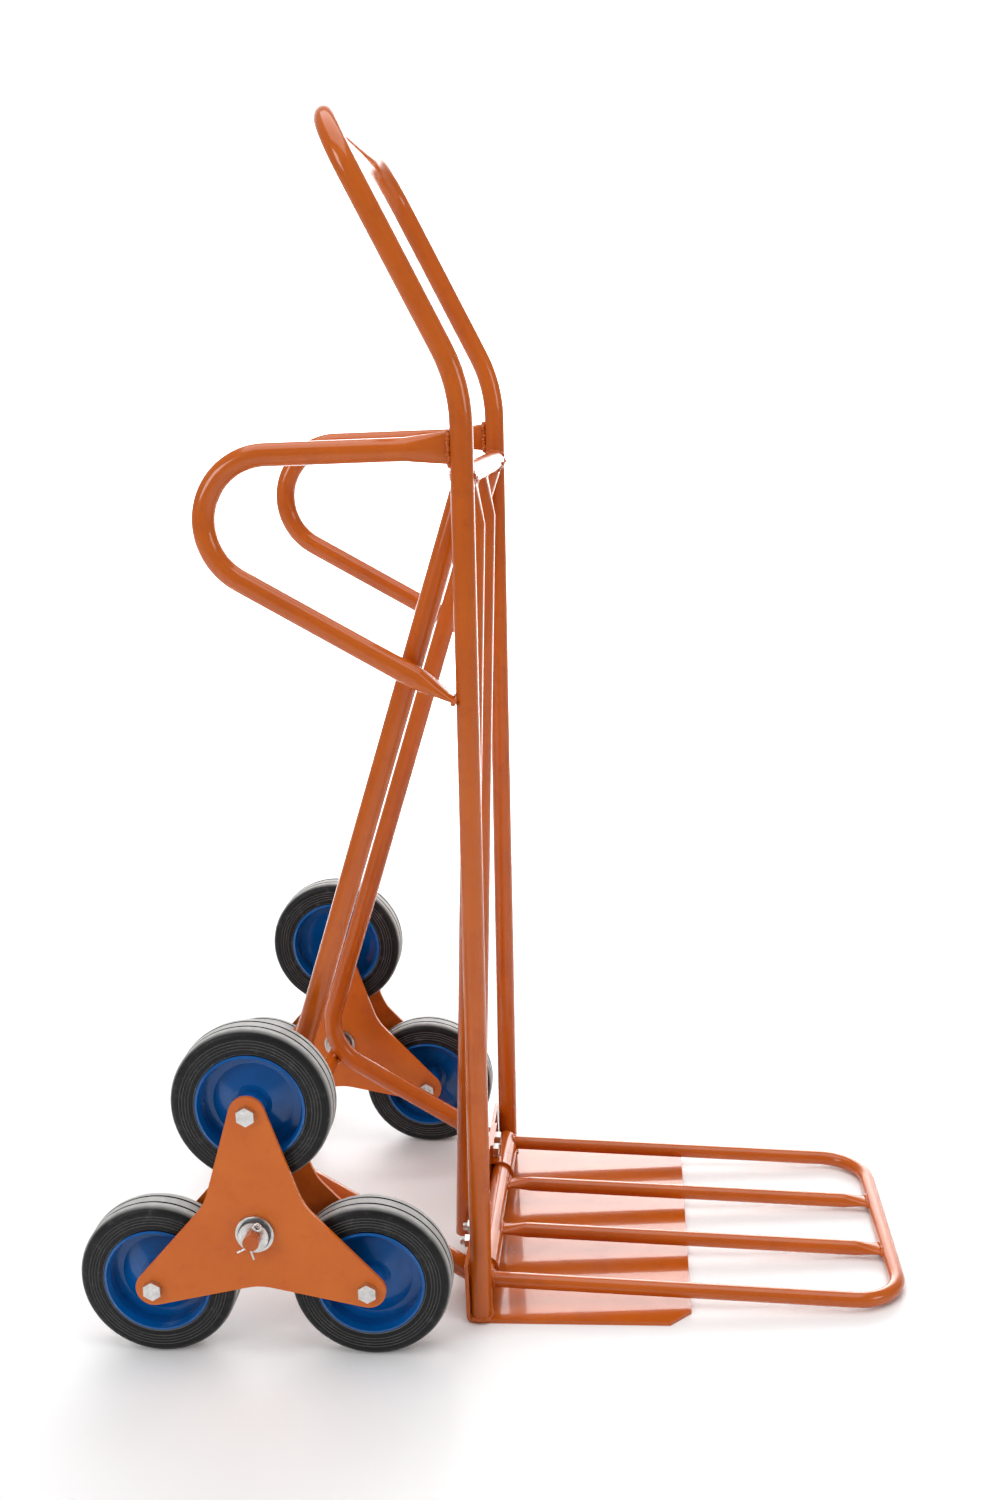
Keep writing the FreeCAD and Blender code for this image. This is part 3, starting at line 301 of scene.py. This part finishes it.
@dataclass(frozen=True)
class SolidRubber:
    """Black moulded rubber, with a painted reflection in pale grey on the running face and faint random
    dust all over.

    Attributes:
        name: the material's name.
        black: the clean rubber.
        dust_and_reflection: the pale grey of the painted reflection on the running face, and of the faint
            dust.
    """

    name: str = "solid_rubber"
    black: tuple[float, float, float, float] = (0.008, 0.008, 0.009, 1.0)
    dust_and_reflection: tuple[float, float, float, float] = (0.62, 0.62, 0.6, 1.0)
    grain_depth: ClassVar[float] = 0.0002

    def material(self) -> bpy.types.Material:
        """Make the rubber, with a painted reflection in pale grey where a face looks away from the
        wheel's side.

        Returns:
            The material.
        """
        graph = Graph(self.name)
        facing = graph.signal("ShaderNodeTexCoord", None, None, "Normal")
        sideways = graph.signal("ShaderNodeSeparateXYZ", None, {0: facing}, "Y")
        across = graph.signal("ShaderNodeMath", {"operation": "ABSOLUTE"}, {0: sideways})
        # painted reflection: faces of the running face, turned away from the wheel's side, are picked out
        # to be paled toward grey
        tread_reflection_mask = 1.0 - graph.band(across, low=0.25, high=0.75)
        cloud = graph.noise(scale=90.0, detail=6.0, roughness=0.65)
        speckle = graph.noise(scale=900.0, detail=3.0, roughness=0.6)
        # painted reflection in pale grey on the running face, plus faint random dust patches everywhere
        reflection_and_dust_mask = tread_reflection_mask * (cloud * 0.5 + 0.45) + graph.band(cloud, low=0.55, high=0.8) * 0.06
        return graph.finish({
            "Base Color": graph.blend(reflection_and_dust_mask, self.black, self.dust_and_reflection),
            "Roughness": cloud * 0.14 + tread_reflection_mask * 0.12 + 0.36,
            "Specular IOR Level": 0.25,
            "Normal": graph.bump(speckle + cloud * 0.5, self.grain_depth, 0.4),
        })


@dataclass(frozen=True)
class MouldedNylon:
    """Dark moulded nylon with a fine grain."""

    name: str = "moulded_nylon"
    dark: tuple[float, float, float, float] = (0.05, 0.05, 0.055, 1.0)
    light: tuple[float, float, float, float] = (0.1, 0.1, 0.105, 1.0)
    grain_depth: ClassVar[float] = 0.0001

    def material(self) -> bpy.types.Material:
        """Make the nylon.

        Returns:
            The material.
        """
        graph = Graph(self.name)
        cloud = graph.noise(scale=70.0, detail=3.0)
        grain = graph.noise(scale=1300.0, detail=3.0, roughness=0.6)
        return graph.finish({
            "Base Color": graph.blend(cloud, self.dark, self.light),
            "Roughness": grain * 0.15 + 0.4,
            "Normal": graph.bump(grain, self.grain_depth, 0.4),
        })


@dataclass(frozen=True)
class StudioPaper:
    """Seamless white paper with the faintest unevenness."""

    name: str = "studio_paper"
    shade: tuple[float, float, float, float] = (0.93, 0.93, 0.93, 1.0)
    white: tuple[float, float, float, float] = (0.97, 0.97, 0.97, 1.0)

    def material(self) -> bpy.types.Material:
        """Make the paper.

        Returns:
            The material.
        """
        graph = Graph(self.name)
        cloud = graph.noise(scale=1.4)
        return graph.finish({
            "Base Color": graph.blend(cloud, self.shade, self.white),
            "Roughness": cloud * 0.1 + 0.38,
        })


TUBE_ENAMEL = Enamel(
    name="orange_enamel",
    colour=(0.56, 0.112, 0.006, 1.0),
    deep=(0.4, 0.066, 0.003, 1.0),
    roughness=0.18,
    scuffs=0.15,
    coat=0.55,
    shine=0.22,
)
RIM_ENAMEL = Enamel(
    name="blue_enamel",
    colour=(0.0005, 0.1, 0.36, 1.0),
    deep=(0.0005, 0.055, 0.22, 1.0),
    roughness=0.16,
    scuffs=0.05,
    coat=0.5,
    shine=0.2,
)
STAR_ENAMEL = Enamel(
    name="star_enamel",
    colour=(0.66, 0.15, 0.014, 1.0),
    deep=(0.54, 0.085, 0.008, 1.0),
    roughness=0.36,
    scuffs=0.7,
    coat=0.15,
    shine=0.3,
)


class Finishes:
    """One material for each slot, and the star plates' own flatter coat."""

    STAR_PLATES = ("outer_plate_", "inner_plate_")

    def __init__(self) -> None:
        """Make every material once."""
        self.by_slot = {
            Slot.ORANGE: TUBE_ENAMEL.material(),
            Slot.BLUE: RIM_ENAMEL.material(),
            Slot.ZINC: ZincPlate().material(),
            Slot.RUBBER: SolidRubber().material(),
            Slot.NYLON: MouldedNylon().material(),
        }
        self.star = STAR_ENAMEL.material()

    def dress_nodes(self, frame: dict) -> None:
        """Give each carried-over node the material of its slot.
        """
        slots = {part["node"]: part["material_slot"] for part in frame["record"]["subparts"]}
        for name, item in frame["nodes"].items():
            is_plate = name.startswith(self.STAR_PLATES)
            material = self.star if is_plate else self.by_slot[Slot(slots[name])]
            if not item.material_slots:
                item.data.materials.append(material)
            for place in item.material_slots:
                place.material = material
        LOG.info("dressed %d nodes", len(frame["nodes"]))

    def dress(self, piece: bpy.types.Object, slot: Slot, body: str) -> None:
        """Finish a new piece.

        Args:
            piece: the new piece.
            slot: the slot whose material it wears.
            body: the body it rides on.
        """
        piece.data.materials.append(self.by_slot[slot])
        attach(piece, body)
        LOG.info("%s rides on %s with %d faces", piece.name, body, len(piece.data.polygons))


def as_object(name: str, mesh: bmesh.types.BMesh, smooth: bool = True) -> bpy.types.Object:
    """Turn a finished bmesh into an object at the origin.

    Args:
        name: the piece's name.
        mesh: its mesh, in place; it is freed.
        smooth: whether its faces are shaded smooth.

    Returns:
        The linked object.
    """
    for face in mesh.faces:
        face.smooth = smooth
    data = bpy.data.meshes.new(name)
    mesh.to_mesh(data)
    mesh.free()
    item = bpy.data.objects.new(name, data)
    bpy.context.scene.collection.objects.link(item)
    return item


# ----------------------------------------------------------------- weld routes


@dataclass(frozen=True)
class Saddle:
    """The seam where a branch tube meets the side of a main tube.

    Attributes:
        centre: where the two middle lines cross.
        branch: the way the branch runs, away from the main tube.
        main: the way the main tube runs.
        branch_r: the branch's radius.
        main_r: the main tube's radius.
    """

    centre: Vector
    branch: Vector
    main: Vector
    branch_r: float
    main_r: float

    def route(self, count: int) -> list[Vector]:
        """Find points round the seam.

        Args:
            count: how many.

        Returns:
            The points, in order.
        """
        branch = self.branch.normalized()
        aside = branch.cross(self.main).normalized()
        along = aside.cross(branch)
        points = []
        for step in range(count):
            turn = 2 * math.pi * step / count
            off = self.branch_r * math.sin(turn)
            fore = self.branch_r * math.cos(turn)
            sink = math.sqrt(max(self.main_r**2 - off**2, 0.0))
            points.append(self.centre + branch * sink + along * fore + aside * off)
        return points


@dataclass(frozen=True)
class Oval:
    """The seam round a flattened end.

    Attributes:
        centre: the middle of the end.
        long: its longer half, as a vector.
        short: its shorter half, as a vector.
    """

    centre: Vector
    long: Vector
    short: Vector

    def route(self, count: int) -> list[Vector]:
        """Give this many points round the seam."""
        turns = [2 * math.pi * step / count for step in range(count)]
        return [self.centre + self.long * math.cos(t) + self.short * math.sin(t) for t in turns]


@dataclass(frozen=True)
class Line:
    """A straight seam from start to end."""

    start: Vector
    end: Vector

    def route(self, count: int) -> list[Vector]:
        """Give this many points along the seam."""
        return [self.start.lerp(self.end, step / (count - 1)) for step in range(count)]


@dataclass(frozen=True)
class WeldBead:
    """A knobbly run of weld metal, laid drop by drop along a seam.

    Attributes:
        name: the piece's name.
        body: the body it rides on.
        seam: the route it follows.
        drops: how many drops it has.
        size: a drop's radius.
    """

    name: str
    body: str
    seam: Saddle | Oval | Line
    drops: int
    size: float
    swells: ClassVar[tuple[float, float]] = (0.75, 1.2)
    strays: ClassVar[tuple[float, float]] = (-0.25, 0.25)
    widths: ClassVar[tuple[float, float]] = (0.8, 1.1)
    heights: ClassVar[tuple[float, float]] = (0.75, 1.0)
    turns: ClassVar[tuple[float, float]] = (0.0, 3.0)

    def build(self) -> bpy.types.Object:
        """Lay the drops and join them into one piece.

        Returns:
            The bead.
        """
        chance = random.Random(self.name)
        mesh = bmesh.new()
        for point in self.seam.route(self.drops):
            swell = chance.uniform(*self.swells)
            stray = Vector([chance.uniform(*self.strays) * self.size for _ in range(3)])
            width, height = chance.uniform(*self.widths), chance.uniform(*self.heights)
            squeeze = Matrix.Diagonal((1.0, width, height, 1.0))
            turn = Matrix.Rotation(chance.uniform(*self.turns), 4, "Z")
            spot = Matrix.Translation(point + stray) @ turn @ squeeze
            bmesh.ops.create_icosphere(mesh, subdivisions=2, radius=self.size * swell, matrix=spot)
        return as_object(self.name, mesh)


# ------------------------------------------------------------------ assemblies


@dataclass
class FrameWelds:
    """Weld beads of the frame, all painted over.

    Attributes:
        tube: radius of the main tubes.
        axle_r: radius of the axle.
        lean: how far the uprights lean back, in radians.
        grip_top: height of the grips' upper ends.
        grip_low: height of the grips' lower ends.
        grip_slope: how steeply the grips' lower runs come in, in radians.
        cross_z: height of the cross tube.
        flat_long: half the width of a flattened end.
        flat_short: half its thickness.
        grip_gap: how far a grip's bead lies off the upright.
        foot_lift: how far a foot's bead lies above the plate.
        stay_ahead: how far a stay passes ahead of the axle, in tube radii.
        touch_slope: the way from the axle to where a stay's bend touches it, in radians.
        touch_across: the way across that touch, at a right angle to it.
        touch_half: half the distance between the two beads on the axle.
        touch_reach: half the length of those beads, in tube radii.
        stay_end_z: height of a stay's lower end on the lip.
        stay_end_back: how far that end's bead lies behind the lip.
        stay_end_tall: how much taller than round it is.
        slat_back: how far a slat's top lies behind the cross tube's middle.
        slat_drop: how far it lies below that middle, in tube radii.
        slat_foot: where a slat's lower bead lies from the lip's upper edge.
        slat_reach: half its length, in tube radii.
    """

    tube: float = 0.011
    axle_r: float = 0.008
    lean: float = math.radians(1.1)
    grip_top: float = 0.884
    grip_low: float = 0.650
    grip_slope: float = math.radians(30.8)
    cross_z: float = 0.858
    flat_long: float = 0.0155
    flat_short: float = 0.0042
    grip_gap: float = 0.001
    foot_lift: float = 0.0008
    stay_ahead: float = 1.7
    touch_slope: float = math.radians(36.7)
    touch_across: tuple[float, float, float] = (-0.6, 0.0, 0.8)
    touch_half: float = 0.004
    touch_reach: float = 0.75
    stay_end_z: float = 0.030
    stay_end_back: float = 0.0005
    stay_end_tall: float = 1.05
    slat_back: float = 0.0035
    slat_drop: float = 0.96
    slat_foot: tuple[float, float, float] = (0.0006, 0.0, 0.0005)
    slat_reach: float = 0.6

    def build(self) -> list[WeldBead]:
        """List the beads of both sides.

        Returns:
            The beads.
        """
        beads = []
        for side in Side:
            beads += self._grip(side) + self._upright(side) + self._stay(side) + self._slat(side)
        return beads

    def _upright_y(self) -> float:
        """Give how far out the uprights stand."""
        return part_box("frame_loop")[1].y - self.tube

    def _upright_at(self, height: float, side: Side) -> Vector:
        """Give the middle of an upright at a height."""
        return Vector((height * math.tan(self.lean), side.value * self._upright_y(), height))

    def _grip(self, side: Side) -> list[WeldBead]:
        """List the beads round a grip's two ends.

        Args:
            side: the grip's side.

        Returns:
            The beads.
        """
        back = Vector((self.tube + self.grip_gap, 0, 0))
        top = self._upright_at(self.grip_top, side) - back
        low = self._upright_at(self.grip_low, side) - back
        rise = Vector((math.sin(self.grip_slope), 0, math.cos(self.grip_slope)))
        upper = Oval(top, Vector((0, 0, self.flat_long)), Vector((0, self.flat_short, 0)))
        lower = Oval(low, Vector((0, self.tube, 0)), rise * self.flat_short)
        return [
            WeldBead("weld_grip_top_" + side.word, "frame", upper, drops=26, size=0.0026),
            WeldBead("weld_grip_low_" + side.word, "frame", lower, drops=20, size=0.0022),
        ]

    def _upright(self, side: Side) -> list[WeldBead]:
        """List the beads at an upright's foot and where the cross tube meets it.

        Args:
            side: the upright's side.

        Returns:
            The beads.
        """
        plate_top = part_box("frame_loop")[0].z
        foot = self._upright_at(plate_top + self.foot_lift, side)
        around = Oval(foot, Vector((self.tube, 0, 0)), Vector((0, self.tube, 0)))
        middle = self._upright_at(self.cross_z, side)
        inward, upward = Vector((0, -side.value, 0)), Vector((self.lean, 0, 1))
        cross = Saddle(middle, inward, upward, self.tube, self.tube)
        return [
            WeldBead("weld_foot_" + side.word, "frame", around, drops=30, size=0.0024),
            WeldBead("weld_cross_" + side.word, "frame", cross, drops=30, size=0.0022),
        ]

    def _stay_y(self, side: Side) -> float:
        """Give how far out a stay stands."""
        low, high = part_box("stay_" + side.word)
        return (low.y + high.y) / 2

    def _axle_at(self, side: Side) -> Vector:
        """Give the middle of the axle beside a stay."""
        low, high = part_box("axle")
        return Vector(((low.x + high.x) / 2, self._stay_y(side), (low.z + high.z) / 2))

    def _stay(self, side: Side) -> list[WeldBead]:
        """List the beads at a stay's top, at the axle and at its end on the lip.

        Args:
            side: the stay's side.

        Returns:
            The beads.
        """
        y = self._stay_y(side)
        cross = Vector((self.cross_z * math.tan(self.lean), y, self.cross_z))
        down = (self._axle_at(side) + Vector((self.tube * self.stay_ahead, 0, 0)) - cross).normalized()
        top = Saddle(cross, down, Vector((0, 1, 0)), self.tube, self.tube)
        end = Vector((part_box("toe_plate")[0].x - self.stay_end_back, y, self.stay_end_z))
        around = Oval(end, Vector((0, 0, self.tube * self.stay_end_tall)), Vector((0, self.tube, 0)))
        return [
            WeldBead("weld_stay_top_" + side.word, "frame", top, drops=28, size=0.0022),
            *self._axle(side),
            WeldBead("weld_stay_low_" + side.word, "frame", around, drops=30, size=0.0022),
        ]

    def _axle(self, side: Side) -> list[WeldBead]:
        """List the beads above and below the touch of stay and axle.

        Args:
            side: the stay's side.

        Returns:
            The beads.
        """
        toward = Vector((math.cos(self.touch_slope), 0, math.sin(self.touch_slope)))
        touch = self._axle_at(side) + toward * self.axle_r
        across = Vector(self.touch_across) * self.touch_half
        reach = Vector((0, self.tube * self.touch_reach, 0))
        over = Line(touch + across - reach, touch + across + reach)
        under = Line(touch - across - reach, touch - across + reach)
        return [
            WeldBead("weld_axle_over_" + side.word, "frame", over, drops=12, size=0.0024),
            WeldBead("weld_axle_under_" + side.word, "frame", under, drops=12, size=0.0024),
        ]

    def _slat(self, side: Side) -> list[WeldBead]:
        """List the beads at a back slat's two ends.

        Args:
            side: the slat's side.

        Returns:
            The beads.
        """
        low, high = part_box("slat_" + side.word)
        y = (low.y + high.y) / 2
        top_x = self.cross_z * math.tan(self.lean) - self.slat_back
        top = Vector((top_x, y, self.cross_z - self.tube * self.slat_drop))
        around = Oval(top, Vector((0, self.flat_long, 0)), Vector((self.flat_short, 0, 0)))
        lip_low, lip_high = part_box("toe_plate")
        reach = Vector((0, self.tube * self.slat_reach, 0))
        foot = Vector((lip_low.x, y, lip_high.z)) + Vector(self.slat_foot)
        along = Line(foot - reach, foot + reach)
        return [
            WeldBead("weld_slat_top_" + side.word, "frame", around, drops=26, size=0.0024),
            WeldBead("weld_slat_low_" + side.word, "frame", along, drops=9, size=0.0024),
        ]


@dataclass
class ExtensionWelds:
    """Weld beads of the fold-out extension.

    Attributes:
        rail: radius of its bars.
        hinge_r: radius of the hinge tube.
        drop: how steeply it slopes to the floor, in radians.
        reach: length from the hinge to the front bar's middle.
        flat_long: half the width of a bar's flattened end.
        flat_short: half its thickness.
    """

    rail: float = 0.008
    hinge_r: float = 0.011
    drop: float = math.radians(2.919)
    reach: float = 0.432
    flat_long: float = 0.0115
    flat_short: float = 0.0036

    def build(self) -> list[WeldBead]:
        """List the beads of both sides.

        Returns:
            The beads.
        """
        low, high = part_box("hinge_tube")
        hinge = (low + high) / 2
        ahead = Vector((math.cos(self.drop), 0, -math.sin(self.drop)))
        rise = Vector((math.sin(self.drop), 0, math.cos(self.drop)))
        long, short = Vector((0, self.flat_long, 0)), rise * self.flat_short
        beads = []
        for side in Side:
            loop_y = side.value * (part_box("extension_loop")[1].y - self.rail)
            bar_low, bar_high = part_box("extension_bar_" + side.word)
            bar = Vector((hinge.x, (bar_low.y + bar_high.y) / 2, hinge.z))
            rail = Vector((hinge.x, loop_y, hinge.z))
            outer = Saddle(rail, ahead, Vector((0, 1, 0)), self.rail, self.hinge_r)
            back = Oval(bar + ahead * self.hinge_r, long, short)
            front = Oval(bar + ahead * (self.reach - self.rail), long, short)
            beads += [
                WeldBead("weld_rail_" + side.word, "extension", outer, drops=24, size=0.002),
                WeldBead("weld_bar_back_" + side.word, "extension", back, drops=22, size=0.0021),
                WeldBead("weld_bar_front_" + side.word, "extension", front, drops=22, size=0.0021),
            ]
        return beads


@dataclass
class BoltThreads:
    """Threads on the tails of the wheel bolts and the clip bolts.

    Attributes:
        pitch: distance between two ridges.
        root: how far the thread's root stands off the bolt.
        depth: how far a ridge stands off it.
        steps: facets round a bolt.
        wheel_r: radius of a wheel bolt.
        clip_r: radius of a clip bolt.
        clip_half: half the distance between a clip's two bolts.
    """

    pitch: float = 0.0009
    root: float = 0.00003
    depth: float = 0.0002
    steps: int = 24
    wheel_r: float = 0.005
    clip_r: float = 0.004
    clip_half: float = 0.015
    weld_gap: ClassVar[float] = 1e-6

    def _tail(self, name: str, start: Vector, end: Vector, radius: float) -> bpy.types.Object:
        """Spin the ridges of one tail.

        Args:
            name: the piece's name.
            start: where the thread leaves the nut, on the bolt's middle line.
            end: the bolt's tip.
            radius: the bolt's radius.

        Returns:
            The threaded tail.
        """
        along = (end - start).normalized()
        across = along.orthogonal().normalized()
        mesh = bmesh.new()
        ridges = max(int((end - start).length / self.pitch), 2)
        verts = []
        for half in range(2 * ridges):
            lift = radius + (self.depth if half % 2 else self.root)
            verts.append(mesh.verts.new(start + along * (self.pitch * half / 2) + across * lift))
        for first, second in zip(verts, verts[1:]):
            mesh.edges.new((first, second))
        outline = mesh.verts[:] + mesh.edges[:]
        bmesh.ops.spin(mesh, geom=outline, cent=start, axis=along, angle=2 * math.pi, steps=self.steps,
                       use_merge=True)
        bmesh.ops.remove_doubles(mesh, verts=mesh.verts[:], dist=self.weld_gap)
        bmesh.ops.recalc_face_normals(mesh, faces=mesh.faces[:])
        return as_object(name, mesh, smooth=False)

    def build(self, finishes: Finishes) -> None:
        """Make and dress every threaded tail."""
        for side in Side:
            self._wheel_tails(side, finishes)
            self._clip_tails(side, finishes)

    def _wheel_tails(self, side: Side, finishes: Finishes) -> None:
        """Thread the three wheel bolts of a star.

        Args:
            side: the star's side.
            finishes: what dresses the tails.
        """
        bolts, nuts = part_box("wheel_bolts_" + side.word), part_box("wheel_nuts_" + side.word)
        inner = 0 if side is Side.LEFT else 1
        for lobe in range(1, LOBES + 1):
            low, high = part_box("wheel_bush_%s_%d" % (side.word, lobe))
            middle = (low + high) / 2
            start = Vector((middle.x, nuts[inner].y, middle.z))
            end = Vector((middle.x, bolts[inner].y, middle.z))
            tail = self._tail("thread_wheel_%s_%d" % (side.word, lobe), start, end, self.wheel_r)
            finishes.dress(tail, Slot.ZINC, "star_" + side.word)

    def _clip_tails(self, side: Side, finishes: Finishes) -> None:
        """Thread the two bolts of a hinge clip.

        Args:
            side: the clip's side.
            finishes: what dresses the tails.
        """
        bolts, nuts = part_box("clip_bolts_" + side.word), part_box("clip_nuts_" + side.word)
        middle = (bolts[0] + bolts[1]) / 2
        for number, way in enumerate((-1, 1), start=1):
            y = middle.y + way * self.clip_half
            start, end = Vector((nuts[0].x, y, middle.z)), Vector((bolts[0].x, y, middle.z))
            tail = self._tail("thread_clip_%s_%d" % (side.word, number), start, end, self.clip_r)
            finishes.dress(tail, Slot.ZINC, "frame")


# --------------------------------------------------------------------- studio


@dataclass(frozen=True)
class Sweep:
    """A paper floor that curves up into a wall.

    Attributes:
        half: half its width.
        front: where the floor starts, in front.
        back: where the wall stands.
        bend: radius of the curve between them.
        top: the wall's height.
        steps: facets of the curve.
    """

    half: float = 9.0
    front: float = -7.0
    back: float = 5.0
    bend: float = 1.6
    top: float = 6.0
    steps: int = 12

    def build(self) -> bpy.types.Object:
        """Extrude the profile across.

        Returns:
            The sweep.
        """
        mesh = bmesh.new()
        profile = [(self.front, 0.0)]
        for step in range(self.steps + 1):
            turn = math.pi / 2 * step / self.steps
            y = self.back - self.bend + self.bend * math.sin(turn)
            profile.append((y, self.bend - self.bend * math.cos(turn)))
        profile.append((self.back, self.top))
        verts = [mesh.verts.new((-self.half, y, z)) for y, z in profile]
        edges = [mesh.edges.new(pair) for pair in zip(verts, verts[1:])]
        pulled = bmesh.ops.extrude_edge_only(mesh, edges=edges)["geom"]
        moved = [item for item in pulled if isinstance(item, bmesh.types.BMVert)]
        bmesh.ops.translate(mesh, verts=moved, vec=(2 * self.half, 0, 0))
        bmesh.ops.recalc_face_normals(mesh, faces=mesh.faces[:])
        return as_object("studio_sweep", mesh)


@dataclass(frozen=True)
class SoftBox:
    """One square soft box.

    Attributes:
        name: the light's name.
        spot: where it hangs.
        aim: the point it looks at.
        width: its width.
        power: its strength in watts.
    """

    name: str
    spot: tuple[float, float, float]
    aim: tuple[float, float, float]
    width: float
    power: float

    def hang(self) -> None:
        """Hang the soft box."""
        light = bpy.data.lights.new(self.name, "AREA")
        light.shape = "SQUARE"
        light.size = self.width
        light.energy = self.power
        item = bpy.data.objects.new(self.name, light)
        item.location = self.spot
        item.rotation_euler = (Vector(self.aim) - Vector(self.spot)).to_track_quat("-Z", "Y").to_euler()
        bpy.context.scene.collection.objects.link(item)


@dataclass(frozen=True)
class Studio:
    """The pale sweep, the soft lights and the camera.

    Attributes:
        boxes: the soft boxes.
        room: strength of the white light that comes from all round.
        long_side: the long side of the camera's film, in millimetres.
        lens: focal length, in millimetres.
        spot: where the camera stands.
        yaw: how far it turns to its left, in radians.
        pitch: how far it looks down, in radians.
        roll: how far it tips, in radians.
    """

    boxes: tuple[SoftBox, ...] = (
        SoftBox("overhead", (0.0, -0.2, 3.4), (0.0, 0.0, 0.0), width=3.2, power=70.0),
        SoftBox("front_left", (-2.4, -2.6, 1.9), (0.0, 0.0, 0.5), width=1.3, power=34.0),
        SoftBox("front_right", (2.8, -1.6, 1.6), (0.0, 0.0, 0.5), width=1.1, power=16.0),
        SoftBox("behind", (0.4, 2.6, 2.6), (0.0, 5.0, 1.2), width=3.0, power=480.0),
    )
    room: float = 0.32
    long_side: float = 36.0
    lens: float = 37.88
    spot: tuple[float, float, float] = (0.17101, -1.63587, 0.92579)
    yaw: float = math.radians(5.4067)
    pitch: float = math.radians(12.5244)
    roll: float = math.radians(-2.3016)

    def build(self) -> None:
        """Make the studio."""
        sweep = Sweep().build()
        sweep.data.materials.append(StudioPaper().material())
        for box in self.boxes:
            box.hang()
        self._fill()
        self._camera()

    def _fill(self) -> None:
        """Fill the room with white light."""
        world = bpy.data.worlds.new("white_room")
        world.use_nodes = True
        background = world.node_tree.nodes["Background"]
        background.inputs["Color"].default_value = (1.0, 1.0, 1.0, 1.0)
        background.inputs["Strength"].default_value = self.room
        bpy.context.scene.world = world
        bpy.context.scene.view_settings.view_transform = "Standard"

    def _camera(self) -> None:
        """Set the camera up: it turns left, looks down, then tips."""
        flat = math.cos(self.pitch)
        ahead = Vector((-math.sin(self.yaw) * flat, math.cos(self.yaw) * flat, -math.sin(self.pitch)))
        level = Vector((math.cos(self.yaw), math.sin(self.yaw), 0.0))
        above = level.cross(ahead)
        right = level * math.cos(self.roll) + above * math.sin(self.roll)
        up = above * math.cos(self.roll) - level * math.sin(self.roll)
        turned = Matrix((right, up, -ahead)).transposed()
        data = bpy.data.cameras.new("camera")
        data.lens = self.lens
        data.sensor_width = self.long_side
        data.sensor_fit = "AUTO"
        item = bpy.data.objects.new("camera", data)
        item.matrix_world = Matrix.Translation(self.spot) @ turned.to_4x4()
        bpy.context.scene.collection.objects.link(item)
        bpy.context.scene.camera = item


def main() -> None:
    """Build every piece around the frame."""
    logging.basicConfig(level=logging.INFO, format="%(message)s")
    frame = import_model()
    finishes = Finishes()
    finishes.dress_nodes(frame)
    for bead in FrameWelds().build() + ExtensionWelds().build():
        finishes.dress(bead.build(), Slot.ORANGE, bead.body)
    BoltThreads().build(finishes)
    Studio().build()
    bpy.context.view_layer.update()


if __name__ == "__main__":
    main()
